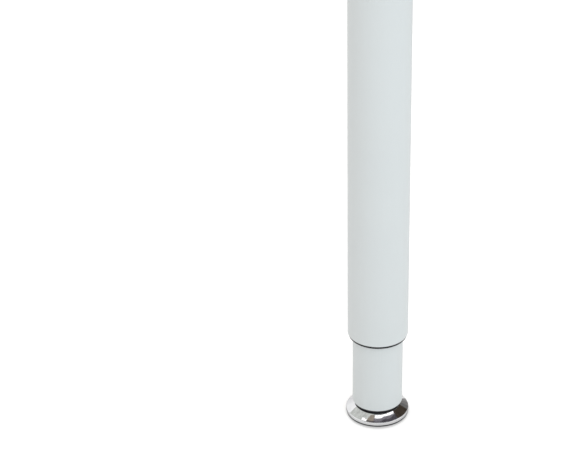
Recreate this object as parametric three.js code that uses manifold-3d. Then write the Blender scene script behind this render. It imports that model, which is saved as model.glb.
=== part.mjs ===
// The lower end of a round telescopic table leg on its levelling foot.
// Millimetres, +Z up. The origin is on the floor, on the leg's axis. The clamp is on the +Y side.

import * as THREE from 'three';
import { mergeVertices } from 'three/addons/utils/BufferGeometryUtils.js';
import Module from 'manifold-3d';

const wasm = await Module();
wasm.setup();

// Tubes. The outer one is 60 mm stock tube: it follows from the inner one and the guide bush's sleeve.
const innerTubeDiameter = 50;
const innerTubeWall = 2;
const innerTubeLength = 300;
const outerTubeWall = 2;
const legTopHeight = 480; // upper end of the outer tube over the floor
const shownInnerLength = 79.5; // inner tube that shows between the two lower tube ends
const tubeEdge = 0.4; // deburred tube ends
const slideClearance = 0.25; // between each tube and the plastic that guides it
const seatClearance = 0.15; // between pressed or welded pieces and their tube

// Foot cap
const footDiameter = 63;
const footHeight = 10; // top of the cap over the floor
const footWall = 1.2;
const neckDiameter = 45.8; // flat top of the cap, up to the centre of its rounded edge
const neckRound = 0.8;
const neckSlope = THREE.MathUtils.degToRad(35.5); // of the flare at the neck
const rimTop = 5.2; // upper end of the rim's rounding over the floor
const rimRound = 1;
const rimSlope = THREE.MathUtils.degToRad(29.5); // of the flare at the rim
const rimLift = 1.3; // lower edge of the rim over the floor
const rimLipRound = 0.55;

// Glide disc and sole, which stand still on the floor
const soleDiameter = 52;
const soleProud = 0.5; // sole below the glide disc
const soleSeat = 0.8; // depth of the sole's recess in the glide disc
const glideDiameter = 58.4;
const glideThickness = 2.5;
const glideEdge = 0.4;
const flangeInset = 0.4; // edge of the disc's flange within the rim over it
const flangeGap = 0.2; // between the flange and the rim
const runningGap = 0.1; // between the turning foot and what it stands on

// Snap hooks of the glide disc, in the foot core's groove
const hookCount = 6;
const hookSpan = THREE.MathUtils.degToRad(32); // of one hook round the axis
const hookInnerDiameter = 41; // of the ring that the hooks are stretches of
const hookWall = 1.2;
const hookHeight = 3.2;
const hookBarb = 0.7; // reach of the barb past the hook's wall
const hookBarbHeight = 1.1;
const grooveClearance = 0.3;

// Stud with its head, washer and nut
const studDiameter = 10;
const studLength = 40; // from under the head
const studChamfer = 1;
const headAcrossFlats = 17;
const headHeight = 3.9;
const thrustDiscDiameter = 20;
const thrustDiscThickness = 1;
const thrustDiscSeat = 1; // depth of its recess in the glide disc
const washerDiameter = 20;
const washerThickness = 1.6;
const nutAcrossFlats = 17;
const nutHeight = 5;
const holeClearance = 0.2; // round the stud, where it only passes through
const threadClearance = 0.08; // round the stud or the lock screw, where it is screwed in

// Foot core
const coreEdgeGap = 0.5; // to the inside of the cap's rim
const corePocketCount = 10;
const corePocketRib = 1.4; // rib between two pockets
const corePocketWall = 1.5; // round the head's pocket and round the groove
const corePocketDepth = 4.2;

// End plug of the inner tube
const plugNeckInset = 3; // neck within the outside of the inner tube
const plugNeckHeight = 4; // plug that shows under the inner tube
const plugStopGap = 0.3; // between the plug and the cap with the foot screwed right in
const plugInsertion = 6.4; // plug inside the inner tube
const plugWeb = 2.1;
const plugRecessDiameter = 25;
const plugEdge = 0.5;
const plugWall = 2;
const plugRibCount = 8;
const plugRibWidth = 1.5;
const plugCrushWidth = 1.2; // crush ribs on the plug's outside
const plugCrushHeight = 0.15;

// Threaded disc, welded into the inner tube
const threadDiscThickness = 8;
const threadDiscGap = 0.3; // over the plug
const threadDiscEdge = 1;

// Upper guide on the inner tube, with its rivets
const guideSkirtLength = 30;
const guideInnerLength = 16;
const guideInnerWall = 2.3;
const guideFlange = 2.4;
const guideEdge = 0.8;
const guideGrooveCount = 12;
const guideGrooveWidth = 4;
const guideGrooveDepth = 0.8;
const rivetCount = 3;
const rivetDrop = 11; // rivets below the inner tube's upper end
const rivetDiameter = 3.2;
const rivetHeadDiameter = 6.4;
const rivetHeadHeight = 0.9;
const rivetTailDiameter = 4.8;
const rivetTailHeight = 1.6;
const rivetClearance = 0.2;
const rivetSeat = 1.2; // depth of the rivet head's pocket in the skirt

// Guide bush in the outer tube's lower end
const bushWall = 2.35; // of the sleeve between the two tubes
const bushCollarInset = 1; // collar within the outside of the outer tube
const bushCollarHeight = 2.5;
const bushSleeveLength = 60;
const bushEdge = 0.8;
const bushCrushCount = 12;
const bushCrushWidth = 1.5;
const bushCrushHeight = 0.25;
const bushSlotCount = 4;
const bushSlotWidth = 2.4;
const bushSlotLength = 34;

// Clamp: screw boss, lock screw and pressure pad
const clampHeight = 36; // clamp axis over the outer tube's lower end
const bossDiameter = 16;
const bossProud = 6; // boss outside the outer tube
const bossEdge = 0.8;
const bossSpigotDiameter = 11; // spigot of the boss in the wall of the outer tube
const weldGap = 0.3; // between the boss and the outer tube, filled by the weld
const lockScrewDiameter = 8;
const lockScrewLength = 8;
const lockScrewSink = 1.1; // outer end below the boss face
const lockScrewEdge = 0.7;
const socketAcrossFlats = 4;
const socketDepth = 4;
const padDiameter = 12;
const padThickness = 1.55;
const padClearance = 0.3; // round the pad in the bush's window

// Fineness of the round shapes
const tubeSides = 56;
const hiddenSides = 40;
const smallSides = 16;
const arcSteps = 2; // a rounded edge gets twice as many flats
const cutOverrun = 1; // how far a cutting shape runs past the face that it cuts

// Radii that follow
const innerTubeRadius = innerTubeDiameter / 2;
const innerBoreRadius = innerTubeRadius - innerTubeWall;
const guidedInnerRadius = innerTubeRadius + slideClearance;
const bushSleeveRadius = guidedInnerRadius + bushWall;
const pressedOuterRadius = bushSleeveRadius + bushCrushHeight;
const outerBoreRadius = pressedOuterRadius + seatClearance;
const guidedOuterRadius = outerBoreRadius - slideClearance;
const outerTubeRadius = outerBoreRadius + outerTubeWall;
const footRadius = footDiameter / 2;
const neckRadius = neckDiameter / 2;
const studRadius = studDiameter / 2;
const studHoleRadius = studRadius + holeClearance;

// Heights that follow, from the floor up
const glideBottom = soleProud;
const glideTop = glideBottom + glideThickness;
const thrustDiscBottom = glideTop - thrustDiscSeat;
const thrustDiscTop = thrustDiscBottom + thrustDiscThickness;
const coreBottom = glideTop + runningGap;
const headBottom = thrustDiscTop + runningGap;
const headTop = headBottom + headHeight;
const capUnderside = footHeight - footWall;
const washerTop = footHeight + washerThickness;
const nutTop = washerTop + nutHeight;
const studTop = headTop + studLength;
const plugBottom = footHeight + plugStopGap;
const innerTubeBottom = plugBottom + plugNeckHeight;
const innerTubeTop = innerTubeBottom + innerTubeLength;
const plugTop = innerTubeBottom + plugInsertion;
const threadDiscBottom = plugTop + threadDiscGap;
const threadDiscTop = threadDiscBottom + threadDiscThickness;
const outerTubeBottom = innerTubeBottom + shownInnerLength;
const bushCollarBottom = outerTubeBottom - bushCollarHeight;
const bushTop = outerTubeBottom + bushSleeveLength;
const clampLevel = outerTubeBottom + clampHeight;
const guideTop = innerTubeTop + guideFlange;
const rivetLevel = innerTubeTop - rivetDrop;

// Finishes
const powderGrey = new THREE.MeshStandardMaterial({ color: 0xd3dad9, roughness: 0.55, metalness: 0 });
const chrome = new THREE.MeshStandardMaterial({ color: 0xe6e6e8, roughness: 0.06, metalness: 1 });
const blackPlastic = new THREE.MeshStandardMaterial({ color: 0x17181a, roughness: 0.5, metalness: 0 });
const greySole = new THREE.MeshStandardMaterial({ color: 0x3b3c3e, roughness: 0.8, metalness: 0 });
const zincSteel = new THREE.MeshStandardMaterial({ color: 0xb9bcbe, roughness: 0.35, metalness: 1 });
const blackSteel = new THREE.MeshStandardMaterial({ color: 0x2a2a2c, roughness: 0.4, metalness: 1 });
const naturalPlastic = new THREE.MeshStandardMaterial({ color: 0xe3e1d8, roughness: 0.5, metalness: 0 });

// Turns a closed geometry into a solid that can be joined and cut.
function solidOf(geometry) {
  const bare = geometry.clone();
  bare.deleteAttribute('normal');
  bare.deleteAttribute('uv');
  const merged = mergeVertices(bare);
  const corners = merged.index.array;
  const kept = [];
  for (let i = 0; i < corners.length; i += 3) {
    const [a, b, c] = corners.slice(i, i + 3);
    if (a !== b && b !== c && c !== a) kept.push(a, b, c);
  }
  const vertProperties = new Float32Array(merged.attributes.position.array);
  return new wasm.Manifold(new wasm.Mesh({ numProp: 3, vertProperties, triVerts: new Uint32Array(kept) }));
}

// Turns a solid back into the geometry of one named mesh.
function pieceOf(name, solid, finish) {
  const { vertProperties, triVerts } = solid.getMesh();
  const geometry = new THREE.BufferGeometry();
  geometry.setAttribute('position', new THREE.BufferAttribute(new Float32Array(vertProperties), 3));
  geometry.setIndex(new THREE.BufferAttribute(new Uint32Array(triVerts), 1));
  geometry.computeVertexNormals();
  const piece = new THREE.Mesh(geometry, finish);
  piece.name = name;
  return piece;
}

const joinAll = (solids) => solids.reduce((sum, next) => sum.add(next));
const cutAll = (body, tools) => tools.reduce((rest, tool) => rest.subtract(tool), body);

// An outline of straight lines, counter-clockwise with the radius to the right and the height up.
function outlineOf(corners) {
  const outline = new THREE.Shape(corners.map(([radius, height]) => new THREE.Vector2(radius, height)));
  outline.closePath();
  return outline;
}

// Spins an outline in radius and height about the leg's axis.
function revolve(outline, sides) {
  const spun = new THREE.LatheGeometry(outline.getPoints(arcSteps), sides);
  return solidOf(spun.rotateX(Math.PI / 2));
}

// A ring with chamfered edges. A zero inner radius makes it a disc.
function ring(inner, outer, bottom, top, { sides = hiddenSides, edge = 0, boreEdge = 0 } = {}) {
  const corners = [
    [inner + boreEdge, bottom], [outer - edge, bottom], [outer, bottom + edge],
    [outer, top - edge], [outer - edge, top], [inner + boreEdge, top],
  ];
  if (inner > 0) corners.push([inner, top - boreEdge], [inner, bottom + boreEdge]);
  return revolve(outlineOf(corners), sides);
}

// A tube with deburred ends.
function tube(radius, wall, bottom, top) {
  return ring(radius - wall, radius, bottom, top, { sides: tubeSides, edge: tubeEdge, boreEdge: tubeEdge });
}

// A cylinder along +Y between two distances from the leg's axis.
function crossBar(radius, near, far, height, sides = smallSides, tipRadius = radius) {
  const bar = new THREE.CylinderGeometry(tipRadius, radius, far - near, sides);
  return bar.translate(0, (near + far) / 2, height);
}

// A hexagonal prism between two heights, with its corners on the Y axis.
function hexPrism(acrossFlats, bottom, top) {
  const corner = hexCorner(acrossFlats);
  const prism = new THREE.CylinderGeometry(corner, corner, top - bottom, 6);
  return prism.rotateX(Math.PI / 2).translate(0, 0, (bottom + top) / 2);
}

function hexCorner(acrossFlats) {
  return acrossFlats / 2 / Math.cos(Math.PI / 6);
}

// A box that stands out from the leg's axis along +X.
function radialBar(near, far, width, bottom, top) {
  const bar = new THREE.BoxGeometry(far - near, width, top - bottom);
  return bar.translate((near + far) / 2, 0, (bottom + top) / 2);
}

// Equally spaced copies of a geometry round the leg's axis.
function around(geometry, count, firstTurn = 0) {
  const copies = [];
  for (let i = 0; i < count; i += 1) {
    const turned = geometry.clone().rotateZ(firstTurn + (i * 2 * Math.PI) / count);
    copies.push(solidOf(turned));
  }
  return copies;
}

// A hexagonal nut or head whose corners are turned off at both ends.
function hexBlank(acrossFlats, bottom, top) {
  const corner = hexCorner(acrossFlats);
  const turned = ring(0, corner, bottom, top, { edge: (corner - acrossFlats / 2) / 2 });
  return solidOf(hexPrism(acrossFlats, bottom, top)).intersect(turned);
}

// The flare of the foot, as its two ends and the control point between them. The offset moves it
// inwards, square to its surface.
function flare(offset) {
  const endOf = (radius, height, round, slope) => new THREE.Vector2(
    radius + (round - offset) * Math.sin(slope),
    height + (round - offset) * Math.cos(slope),
  );
  const rimEnd = endOf(footRadius - rimRound, rimTop - rimRound, rimRound, rimSlope);
  const neckEnd = endOf(neckRadius, footHeight - neckRound, neckRound, neckSlope);
  const chordSlope = Math.atan2(neckEnd.y - rimEnd.y, rimEnd.x - neckEnd.x);
  const steepening = Math.sin(neckSlope - chordSlope) / Math.sin(neckSlope - rimSlope);
  const reach = rimEnd.distanceTo(neckEnd) * steepening;
  const alongRim = new THREE.Vector2(-Math.cos(rimSlope), Math.sin(rimSlope));
  const control = alongRim.multiplyScalar(reach).add(rimEnd);
  return { rimEnd, control, neckEnd };
}

function makeSole() {
  const top = glideBottom + soleSeat;
  return ring(0, soleDiameter / 2, 0, top, { edge: soleProud / 2 });
}

function makeGlideDisc() {
  const soleRim = soleDiameter / 2 + seatClearance;
  const discRim = thrustDiscDiameter / 2 + seatClearance;
  const disc = ring(0, glideDiameter / 2, glideBottom, glideTop, { edge: glideEdge });
  const flange = ring(0, footRadius - flangeInset, glideBottom, rimLift - flangeGap);
  const soleRecess = ring(0, soleRim, glideBottom - cutOverrun, glideBottom + soleSeat);
  const discRecess = ring(0, discRim, thrustDiscBottom, glideTop + cutOverrun);
  return disc.add(flange).subtract(soleRecess).subtract(discRecess).add(makeHooks());
}

// The hooks are stretches of one barbed ring, so they follow the groove that they snap into.
function makeHooks() {
  const inner = hookInnerDiameter / 2;
  const outer = inner + hookWall;
  const root = glideTop - glideEdge;
  const top = glideTop + hookHeight;
  const barbBottom = top - hookBarbHeight;
  const barbedRing = revolve(outlineOf([
    [inner, root], [outer, root], [outer, barbBottom], [outer + hookBarb, barbBottom],
    [outer, top], [inner, top],
  ]), hiddenSides);
  const sector = new THREE.Shape();
  const reach = (outer + hookBarb) / Math.cos(hookSpan / 2) + cutOverrun;
  sector.moveTo(0, 0);
  sector.lineTo(reach * Math.cos(hookSpan), -reach * Math.sin(hookSpan));
  sector.lineTo(reach, 0);
  sector.closePath();
  const wedge = new THREE.ExtrudeGeometry(sector, { depth: top + cutOverrun, bevelEnabled: false });
  return joinAll(around(wedge, hookCount).map((stretch) => stretch.intersect(barbedRing)));
}

function makeThrustDisc() {
  return ring(0, thrustDiscDiameter / 2, thrustDiscBottom, thrustDiscTop, { edge: thrustDiscThickness / 5 });
}

// The cap is one wall of even thickness: rim, flare and flat top with the stud's hole.
function makeFootCap() {
  const outside = flare(0);
  const inside = flare(footWall);
  const rimInner = footRadius - footWall;
  const outline = new THREE.Shape();
  outline.moveTo(rimInner, rimLift);
  outline.lineTo(footRadius - rimLipRound, rimLift);
  outline.absarc(footRadius - rimLipRound, rimLift + rimLipRound, rimLipRound, -Math.PI / 2, 0);
  outline.absarc(footRadius - rimRound, rimTop - rimRound, rimRound, 0, Math.PI / 2 - rimSlope);
  outline.quadraticCurveTo(outside.control.x, outside.control.y, outside.neckEnd.x, outside.neckEnd.y);
  outline.absarc(neckRadius, footHeight - neckRound, neckRound, Math.PI / 2 - neckSlope, Math.PI / 2);
  outline.lineTo(studHoleRadius, footHeight);
  outline.lineTo(studHoleRadius, capUnderside);
  outline.lineTo(inside.neckEnd.x - (capUnderside - inside.neckEnd.y), capUnderside);
  outline.lineTo(inside.neckEnd.x, inside.neckEnd.y);
  outline.quadraticCurveTo(inside.control.x, inside.control.y, inside.rimEnd.x, inside.rimEnd.y);
  outline.closePath();
  return revolve(outline, tubeSides);
}

// The core fills the cap. Its underside holds the head, the groove for the hooks and ribbed pockets.
function makeFootCore() {
  const side = flare(footWall + seatClearance);
  const outer = footRadius - footWall - coreEdgeGap;
  const outline = new THREE.Shape();
  outline.moveTo(studHoleRadius, coreBottom);
  outline.lineTo(side.rimEnd.x, coreBottom);
  outline.lineTo(side.rimEnd.x, side.rimEnd.y);
  outline.quadraticCurveTo(side.control.x, side.control.y, side.neckEnd.x, side.neckEnd.y);
  outline.lineTo(side.neckEnd.x - (capUnderside - side.neckEnd.y), capUnderside);
  outline.lineTo(studHoleRadius, capUnderside);
  outline.closePath();
  const within = ring(0, outer, coreBottom - cutOverrun, footHeight, { sides: tubeSides });
  const body = revolve(outline, tubeSides).intersect(within);
  const headPocket = solidOf(hexPrism(headAcrossFlats + grooveClearance, coreBottom - cutOverrun, headTop));
  return cutAll(body, [headPocket, makeGroove(), ...makeCorePockets()]);
}

// The groove is wider above its mouth, so that the barbs of the hooks hold behind its edge.
function makeGroove() {
  const inner = hookInnerDiameter / 2 - grooveClearance;
  const mouth = hookInnerDiameter / 2 + hookWall + grooveClearance;
  const outer = mouth + hookBarb;
  const hookTop = glideTop + hookHeight;
  const ledge = hookTop - hookBarbHeight - grooveClearance;
  const top = hookTop + grooveClearance;
  return revolve(outlineOf([
    [inner, coreBottom - cutOverrun], [mouth, coreBottom - cutOverrun], [mouth, ledge],
    [outer, ledge], [outer, top], [inner, top],
  ]), hiddenSides);
}

function makeCorePockets() {
  const inner = hexCorner(headAcrossFlats + grooveClearance) + corePocketWall;
  const outer = hookInnerDiameter / 2 - grooveClearance - corePocketWall;
  const top = coreBottom + corePocketDepth;
  const hollow = ring(inner, outer, coreBottom - cutOverrun, top);
  const rib = radialBar(0, outer + cutOverrun, corePocketRib, coreBottom - 2 * cutOverrun, top + cutOverrun);
  return [cutAll(hollow, around(rib, corePocketCount))];
}

function makeStud() {
  const head = hexBlank(headAcrossFlats, headBottom, headTop);
  const shank = ring(0, studRadius, headTop - headHeight / 2, studTop, { edge: studChamfer });
  return head.add(shank);
}

function makeWasher() {
  return ring(studHoleRadius, washerDiameter / 2, footHeight, washerTop);
}

function makeNut() {
  const bore = ring(0, studRadius + threadClearance, washerTop - cutOverrun, nutTop + cutOverrun);
  return hexBlank(nutAcrossFlats, washerTop, nutTop).subtract(bore);
}

function makeInnerTube() {
  const wall = tube(innerTubeRadius, innerTubeWall, innerTubeBottom, innerTubeTop);
  const hole = crossBar(rivetDiameter / 2 + rivetClearance, 0, innerTubeRadius + cutOverrun, rivetLevel);
  return cutAll(wall, around(hole, rivetCount));
}

// The plug is a cup with a neck below the tube, a recess for the nut and ribs over the neck.
function makeEndPlug() {
  const bodyRadius = innerBoreRadius - seatClearance - plugCrushHeight;
  const recessRadius = plugRecessDiameter / 2;
  const neckRadiusBelow = innerTubeRadius - plugNeckInset;
  const shoulder = innerTubeBottom - plugEdge;
  const body = revolve(outlineOf([
    [studHoleRadius, plugTop - plugWeb], [recessRadius, plugTop - plugWeb], [recessRadius, plugBottom],
    [neckRadiusBelow - plugEdge, plugBottom], [neckRadiusBelow, plugBottom + plugEdge],
    [neckRadiusBelow, shoulder], [bodyRadius, shoulder + plugEdge], [bodyRadius, plugTop - plugEdge],
    [bodyRadius - plugEdge, plugTop], [studHoleRadius, plugTop],
  ]), hiddenSides);
  const pocketTop = plugTop + cutOverrun;
  const pocketBottom = plugBottom + plugWall;
  const pocket = ring(recessRadius + plugWall, bodyRadius - plugWall, pocketBottom, pocketTop);
  const rib = radialBar(0, innerTubeRadius, plugRibWidth, pocketBottom - cutOverrun, pocketTop + cutOverrun);
  const crushRadius = bodyRadius + plugCrushHeight;
  const crushTop = plugTop - plugEdge;
  const crush = radialBar(bodyRadius - plugWall / 2, crushRadius, plugCrushWidth, innerTubeBottom, crushTop);
  const halfStep = Math.PI / plugRibCount;
  const hollow = cutAll(pocket, around(rib, plugRibCount));
  return joinAll([body.subtract(hollow), ...around(crush, plugRibCount, halfStep)]);
}

function makeThreadDisc() {
  const bore = studRadius + threadClearance;
  const outer = innerBoreRadius - seatClearance;
  const edges = { edge: threadDiscEdge, boreEdge: threadDiscEdge };
  return ring(bore, outer, threadDiscBottom, threadDiscTop, edges);
}

// The guide straddles the tube's wall: a skirt outside, a short ring inside and a flange over the end.
function makeUpperGuide() {
  const skirtInner = innerTubeRadius + seatClearance;
  const ringOuter = innerBoreRadius - seatClearance;
  const ringInner = ringOuter - guideInnerWall;
  const skirtBottom = innerTubeTop - guideSkirtLength;
  const ringBottom = innerTubeTop - guideInnerLength;
  const body = revolve(outlineOf([
    [skirtInner, skirtBottom], [guidedOuterRadius - guideEdge, skirtBottom],
    [guidedOuterRadius, skirtBottom + guideEdge], [guidedOuterRadius, guideTop - guideEdge],
    [guidedOuterRadius - guideEdge, guideTop], [ringInner, guideTop], [ringInner, ringBottom],
    [ringOuter - guideEdge, ringBottom], [ringOuter, ringBottom + guideEdge], [ringOuter, innerTubeTop],
    [skirtInner, innerTubeTop],
  ]), hiddenSides);
  const groove = radialBar(
    guidedOuterRadius - guideGrooveDepth, outerTubeRadius, guideGrooveWidth,
    skirtBottom + guideEdge + guideGrooveDepth, innerTubeTop - guideGrooveDepth,
  );
  const hole = crossBar(rivetDiameter / 2 + rivetClearance, 0, outerTubeRadius, rivetLevel);
  const pocketRadius = rivetHeadDiameter / 2 + rivetClearance;
  const pocket = crossBar(pocketRadius, guidedOuterRadius - rivetSeat, outerTubeRadius, rivetLevel);
  const halfStep = Math.PI / guideGrooveCount;
  const grooves = around(groove, guideGrooveCount, halfStep);
  return cutAll(body, [...grooves, ...around(hole, rivetCount), ...around(pocket, rivetCount)]);
}

// One rivet, along +Y: a low head in the skirt's pocket, a shank and the tail inside the guide's ring.
function makeRivet() {
  const shankRadius = rivetDiameter / 2;
  const headSeat = guidedOuterRadius - rivetSeat;
  const headTip = headSeat + rivetHeadHeight;
  const tailSeat = innerBoreRadius - seatClearance - guideInnerWall - rivetClearance;
  const tailTip = tailSeat - rivetTailHeight;
  const head = crossBar(rivetHeadDiameter / 2, headSeat, headTip, rivetLevel, smallSides, shankRadius);
  const shank = crossBar(shankRadius, tailTip + rivetClearance, headTip - rivetClearance, rivetLevel);
  const tail = crossBar(rivetTailDiameter / 2, tailTip, tailSeat, rivetLevel);
  return [head, shank, tail];
}

function makeRivets() {
  const parts = makeRivet().map((part) => around(part, rivetCount));
  return parts[0].map((head, i) => joinAll([head, parts[1][i], parts[2][i]]));
}

function makeOuterTube() {
  const wall = tube(outerTubeRadius, outerTubeWall, outerTubeBottom, legTopHeight);
  const hole = crossBar(bossSpigotDiameter / 2 + seatClearance, 0, outerTubeRadius + cutOverrun, clampLevel);
  return wall.subtract(solidOf(hole));
}

// The collar closes the gap under the outer tube. Slots from above leave four springy fingers.
function makeGuideBush() {
  const collarRadius = outerTubeRadius - bushCollarInset;
  const body = revolve(outlineOf([
    [guidedInnerRadius + bushEdge, bushCollarBottom], [collarRadius - bushEdge, bushCollarBottom],
    [collarRadius, bushCollarBottom + bushEdge], [collarRadius, outerTubeBottom],
    [bushSleeveRadius, outerTubeBottom], [bushSleeveRadius, bushTop - bushEdge],
    [bushSleeveRadius - bushEdge, bushTop], [guidedInnerRadius, bushTop],
    [guidedInnerRadius, bushCollarBottom + bushEdge],
  ]), tubeSides);
  const crush = radialBar(
    bushSleeveRadius - bushEdge, pressedOuterRadius, bushCrushWidth,
    outerTubeBottom + bushEdge, bushTop - bushSlotLength - bushEdge,
  );
  const slot = radialBar(0, outerTubeRadius, bushSlotWidth, bushTop - bushSlotLength, bushTop + cutOverrun);
  const window = crossBar(padDiameter / 2 + padClearance, 0, outerTubeRadius, clampLevel);
  const ribbed = joinAll([body, ...around(crush, bushCrushCount, Math.PI / bushCrushCount)]);
  return cutAll(ribbed, [...around(slot, bushSlotCount, Math.PI / bushSlotCount), solidOf(window)]);
}

// The boss is saddle-shaped where it meets the outer tube, and its spigot fills the hole in the wall.
function makeScrewBoss() {
  const radius = bossDiameter / 2;
  const face = outerTubeRadius + bossProud;
  const shoulder = face - bossEdge;
  const saddleRadius = outerTubeRadius + weldGap;
  const boreRadius = lockScrewDiameter / 2 + threadClearance;
  const stem = solidOf(crossBar(radius, 0, shoulder, clampLevel, hiddenSides));
  const end = solidOf(crossBar(radius, shoulder, face, clampLevel, hiddenSides, radius - bossEdge));
  const low = clampLevel - bossDiameter;
  const saddle = ring(0, saddleRadius, low, clampLevel + bossDiameter, { sides: tubeSides });
  const spigotEnd = outerBoreRadius + seatClearance;
  const spigot = solidOf(crossBar(bossSpigotDiameter / 2, spigotEnd, shoulder, clampLevel, hiddenSides));
  const bore = solidOf(crossBar(boreRadius, 0, face + cutOverrun, clampLevel, hiddenSides));
  return stem.add(end).subtract(saddle).add(spigot).subtract(bore);
}

function makeLockScrew() {
  const radius = lockScrewDiameter / 2;
  const endRadius = radius - lockScrewEdge;
  const outerEnd = outerTubeRadius + bossProud - lockScrewSink;
  const tip = outerEnd - lockScrewLength;
  const shankNear = tip + lockScrewEdge;
  const shankFar = outerEnd - lockScrewEdge;
  const shank = crossBar(radius, shankNear, shankFar, clampLevel, hiddenSides);
  const nose = crossBar(endRadius, tip, shankNear, clampLevel, hiddenSides, radius);
  const end = crossBar(radius, shankFar, outerEnd, clampLevel, hiddenSides, endRadius);
  const socketCorner = hexCorner(socketAcrossFlats);
  const socket = crossBar(socketCorner, outerEnd - socketDepth, outerEnd + cutOverrun, clampLevel, 6);
  return joinAll([shank, nose, end].map(solidOf)).subtract(solidOf(socket));
}

// The pad is a round piece of a curved plate, so its faces follow the inner tube.
function makePressurePad() {
  const disc = solidOf(crossBar(padDiameter / 2, 0, outerTubeRadius, clampLevel, hiddenSides));
  const back = guidedInnerRadius + padThickness;
  const low = clampLevel - padDiameter;
  const high = clampLevel + padDiameter;
  return disc.intersect(ring(guidedInnerRadius, back, low, high, { sides: tubeSides }));
}

const leg = new THREE.Group();

const glideGroup = new THREE.Group();
glideGroup.add(
  pieceOf('sole', makeSole(), greySole),
  pieceOf('glide_disc', makeGlideDisc(), blackPlastic),
  pieceOf('thrust_disc', makeThrustDisc(), zincSteel),
);

const footGroup = new THREE.Group();
footGroup.add(
  pieceOf('foot_cap', makeFootCap(), chrome),
  pieceOf('foot_core', makeFootCore(), blackPlastic),
  pieceOf('stud', makeStud(), zincSteel),
  pieceOf('foot_washer', makeWasher(), zincSteel),
  pieceOf('foot_nut', makeNut(), zincSteel),
);

const innerLegGroup = new THREE.Group();
innerLegGroup.add(
  pieceOf('inner_tube', makeInnerTube(), powderGrey),
  pieceOf('end_plug', makeEndPlug(), blackPlastic),
  pieceOf('thread_disc', makeThreadDisc(), zincSteel),
  pieceOf('upper_guide', makeUpperGuide(), naturalPlastic),
);
makeRivets().forEach((rivet, i) => innerLegGroup.add(pieceOf(`guide_rivet_${i + 1}`, rivet, zincSteel)));

const outerLegGroup = new THREE.Group();
outerLegGroup.add(
  pieceOf('outer_tube', makeOuterTube(), powderGrey),
  pieceOf('guide_bush', makeGuideBush(), blackPlastic),
  pieceOf('screw_boss', makeScrewBoss(), powderGrey),
);

const clampGroup = new THREE.Group();
clampGroup.add(
  pieceOf('lock_screw', makeLockScrew(), blackSteel),
  pieceOf('pressure_pad', makePressurePad(), naturalPlastic),
);

leg.add(glideGroup, footGroup, innerLegGroup, outerLegGroup, clampGroup);

export default leg;
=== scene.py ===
# %% [markdown]
# # A telescopic table leg on its levelling foot
# The real object is the lower end of a height-adjustable table leg: two powder-coated steel tubes
# that slide in each other, plastic guides between them, a clamp screw at the rear and a chromed
# foot whose stud screws into the inner tube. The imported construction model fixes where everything
# is. This script only makes how it looks, so it starts by loading that model as a frame and never
# moves it.

# %% Load the fixed frame
import math

import bpy
from mathutils import Matrix, Vector


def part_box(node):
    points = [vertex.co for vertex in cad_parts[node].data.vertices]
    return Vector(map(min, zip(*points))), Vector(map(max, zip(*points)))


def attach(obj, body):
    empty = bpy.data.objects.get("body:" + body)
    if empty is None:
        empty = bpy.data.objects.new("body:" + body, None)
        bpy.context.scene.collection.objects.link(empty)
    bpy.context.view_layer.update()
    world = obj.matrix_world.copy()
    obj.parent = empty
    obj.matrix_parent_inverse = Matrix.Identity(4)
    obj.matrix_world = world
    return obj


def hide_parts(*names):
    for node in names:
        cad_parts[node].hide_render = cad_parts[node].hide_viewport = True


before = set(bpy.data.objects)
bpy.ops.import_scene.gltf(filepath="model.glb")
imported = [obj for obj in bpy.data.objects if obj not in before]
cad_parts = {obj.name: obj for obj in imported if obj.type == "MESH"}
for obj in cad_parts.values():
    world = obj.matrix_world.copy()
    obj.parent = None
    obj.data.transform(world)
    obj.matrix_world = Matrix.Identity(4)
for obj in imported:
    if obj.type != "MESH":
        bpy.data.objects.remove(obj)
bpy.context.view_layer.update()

# %% [markdown]
# ## Sizes
# Blender works in metres, and a maker thinks in millimetres, so every typed size is a number
# times mm. Places come from the frame: the box of a node gives its lower end, its upper end and,
# because all the round pieces stand on the Z axis, its radius.

# %% Units and places
mm = 0.001
no_size = 0.0


def span(node):
    """The heights at which a node starts and ends."""
    return [corner.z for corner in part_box(node)]


def radius_of(node):
    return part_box(node)[1].x


floor_level = 0.0
outer_radius = radius_of("outer_tube")
outer_bottom, outer_top = span("outer_tube")
inner_radius = radius_of("inner_tube")
inner_bottom, inner_top = span("inner_tube")
bush_bottom, bush_top = span("guide_bush")
tube_wall = 2 * mm
outer_bore = outer_radius - tube_wall
inner_bore = inner_radius - tube_wall
slide_clearance = 0.25 * mm
seat_clearance = 0.15 * mm
guided_outer = outer_bore - slide_clearance
stud_radius = 5 * mm
stud_hole = stud_radius + 0.2 * mm
clamp_level = sum(span("screw_boss")) / 2
print(f"tubes {2 * outer_radius / mm:.1f} and {2 * inner_radius / mm:.1f} mm")
print(f"clamp at {clamp_level / mm:.1f} mm")

# %% [markdown]
# ## One way to write node trees
# Materials and Geometry Nodes are both trees of nodes. Wiring them by hand hides the idea behind
# dozens of links, so a small class wraps a node's output and overloads Python's operators: an
# expression such as `1 - mask * 0.5` then adds the Math nodes that it needs. Everything that
# isn't arithmetic comes from one method, which takes the node's type, its settings and its
# sockets.


# %% Wires
def as_node(operation, reflected=False):
    """A method that adds a Math node where Python meets one of its operators."""
    def method(wire, other):
        pair = (other, wire) if reflected else (wire, other)
        return wire.desk.maths(operation, *pair)
    return method


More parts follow.
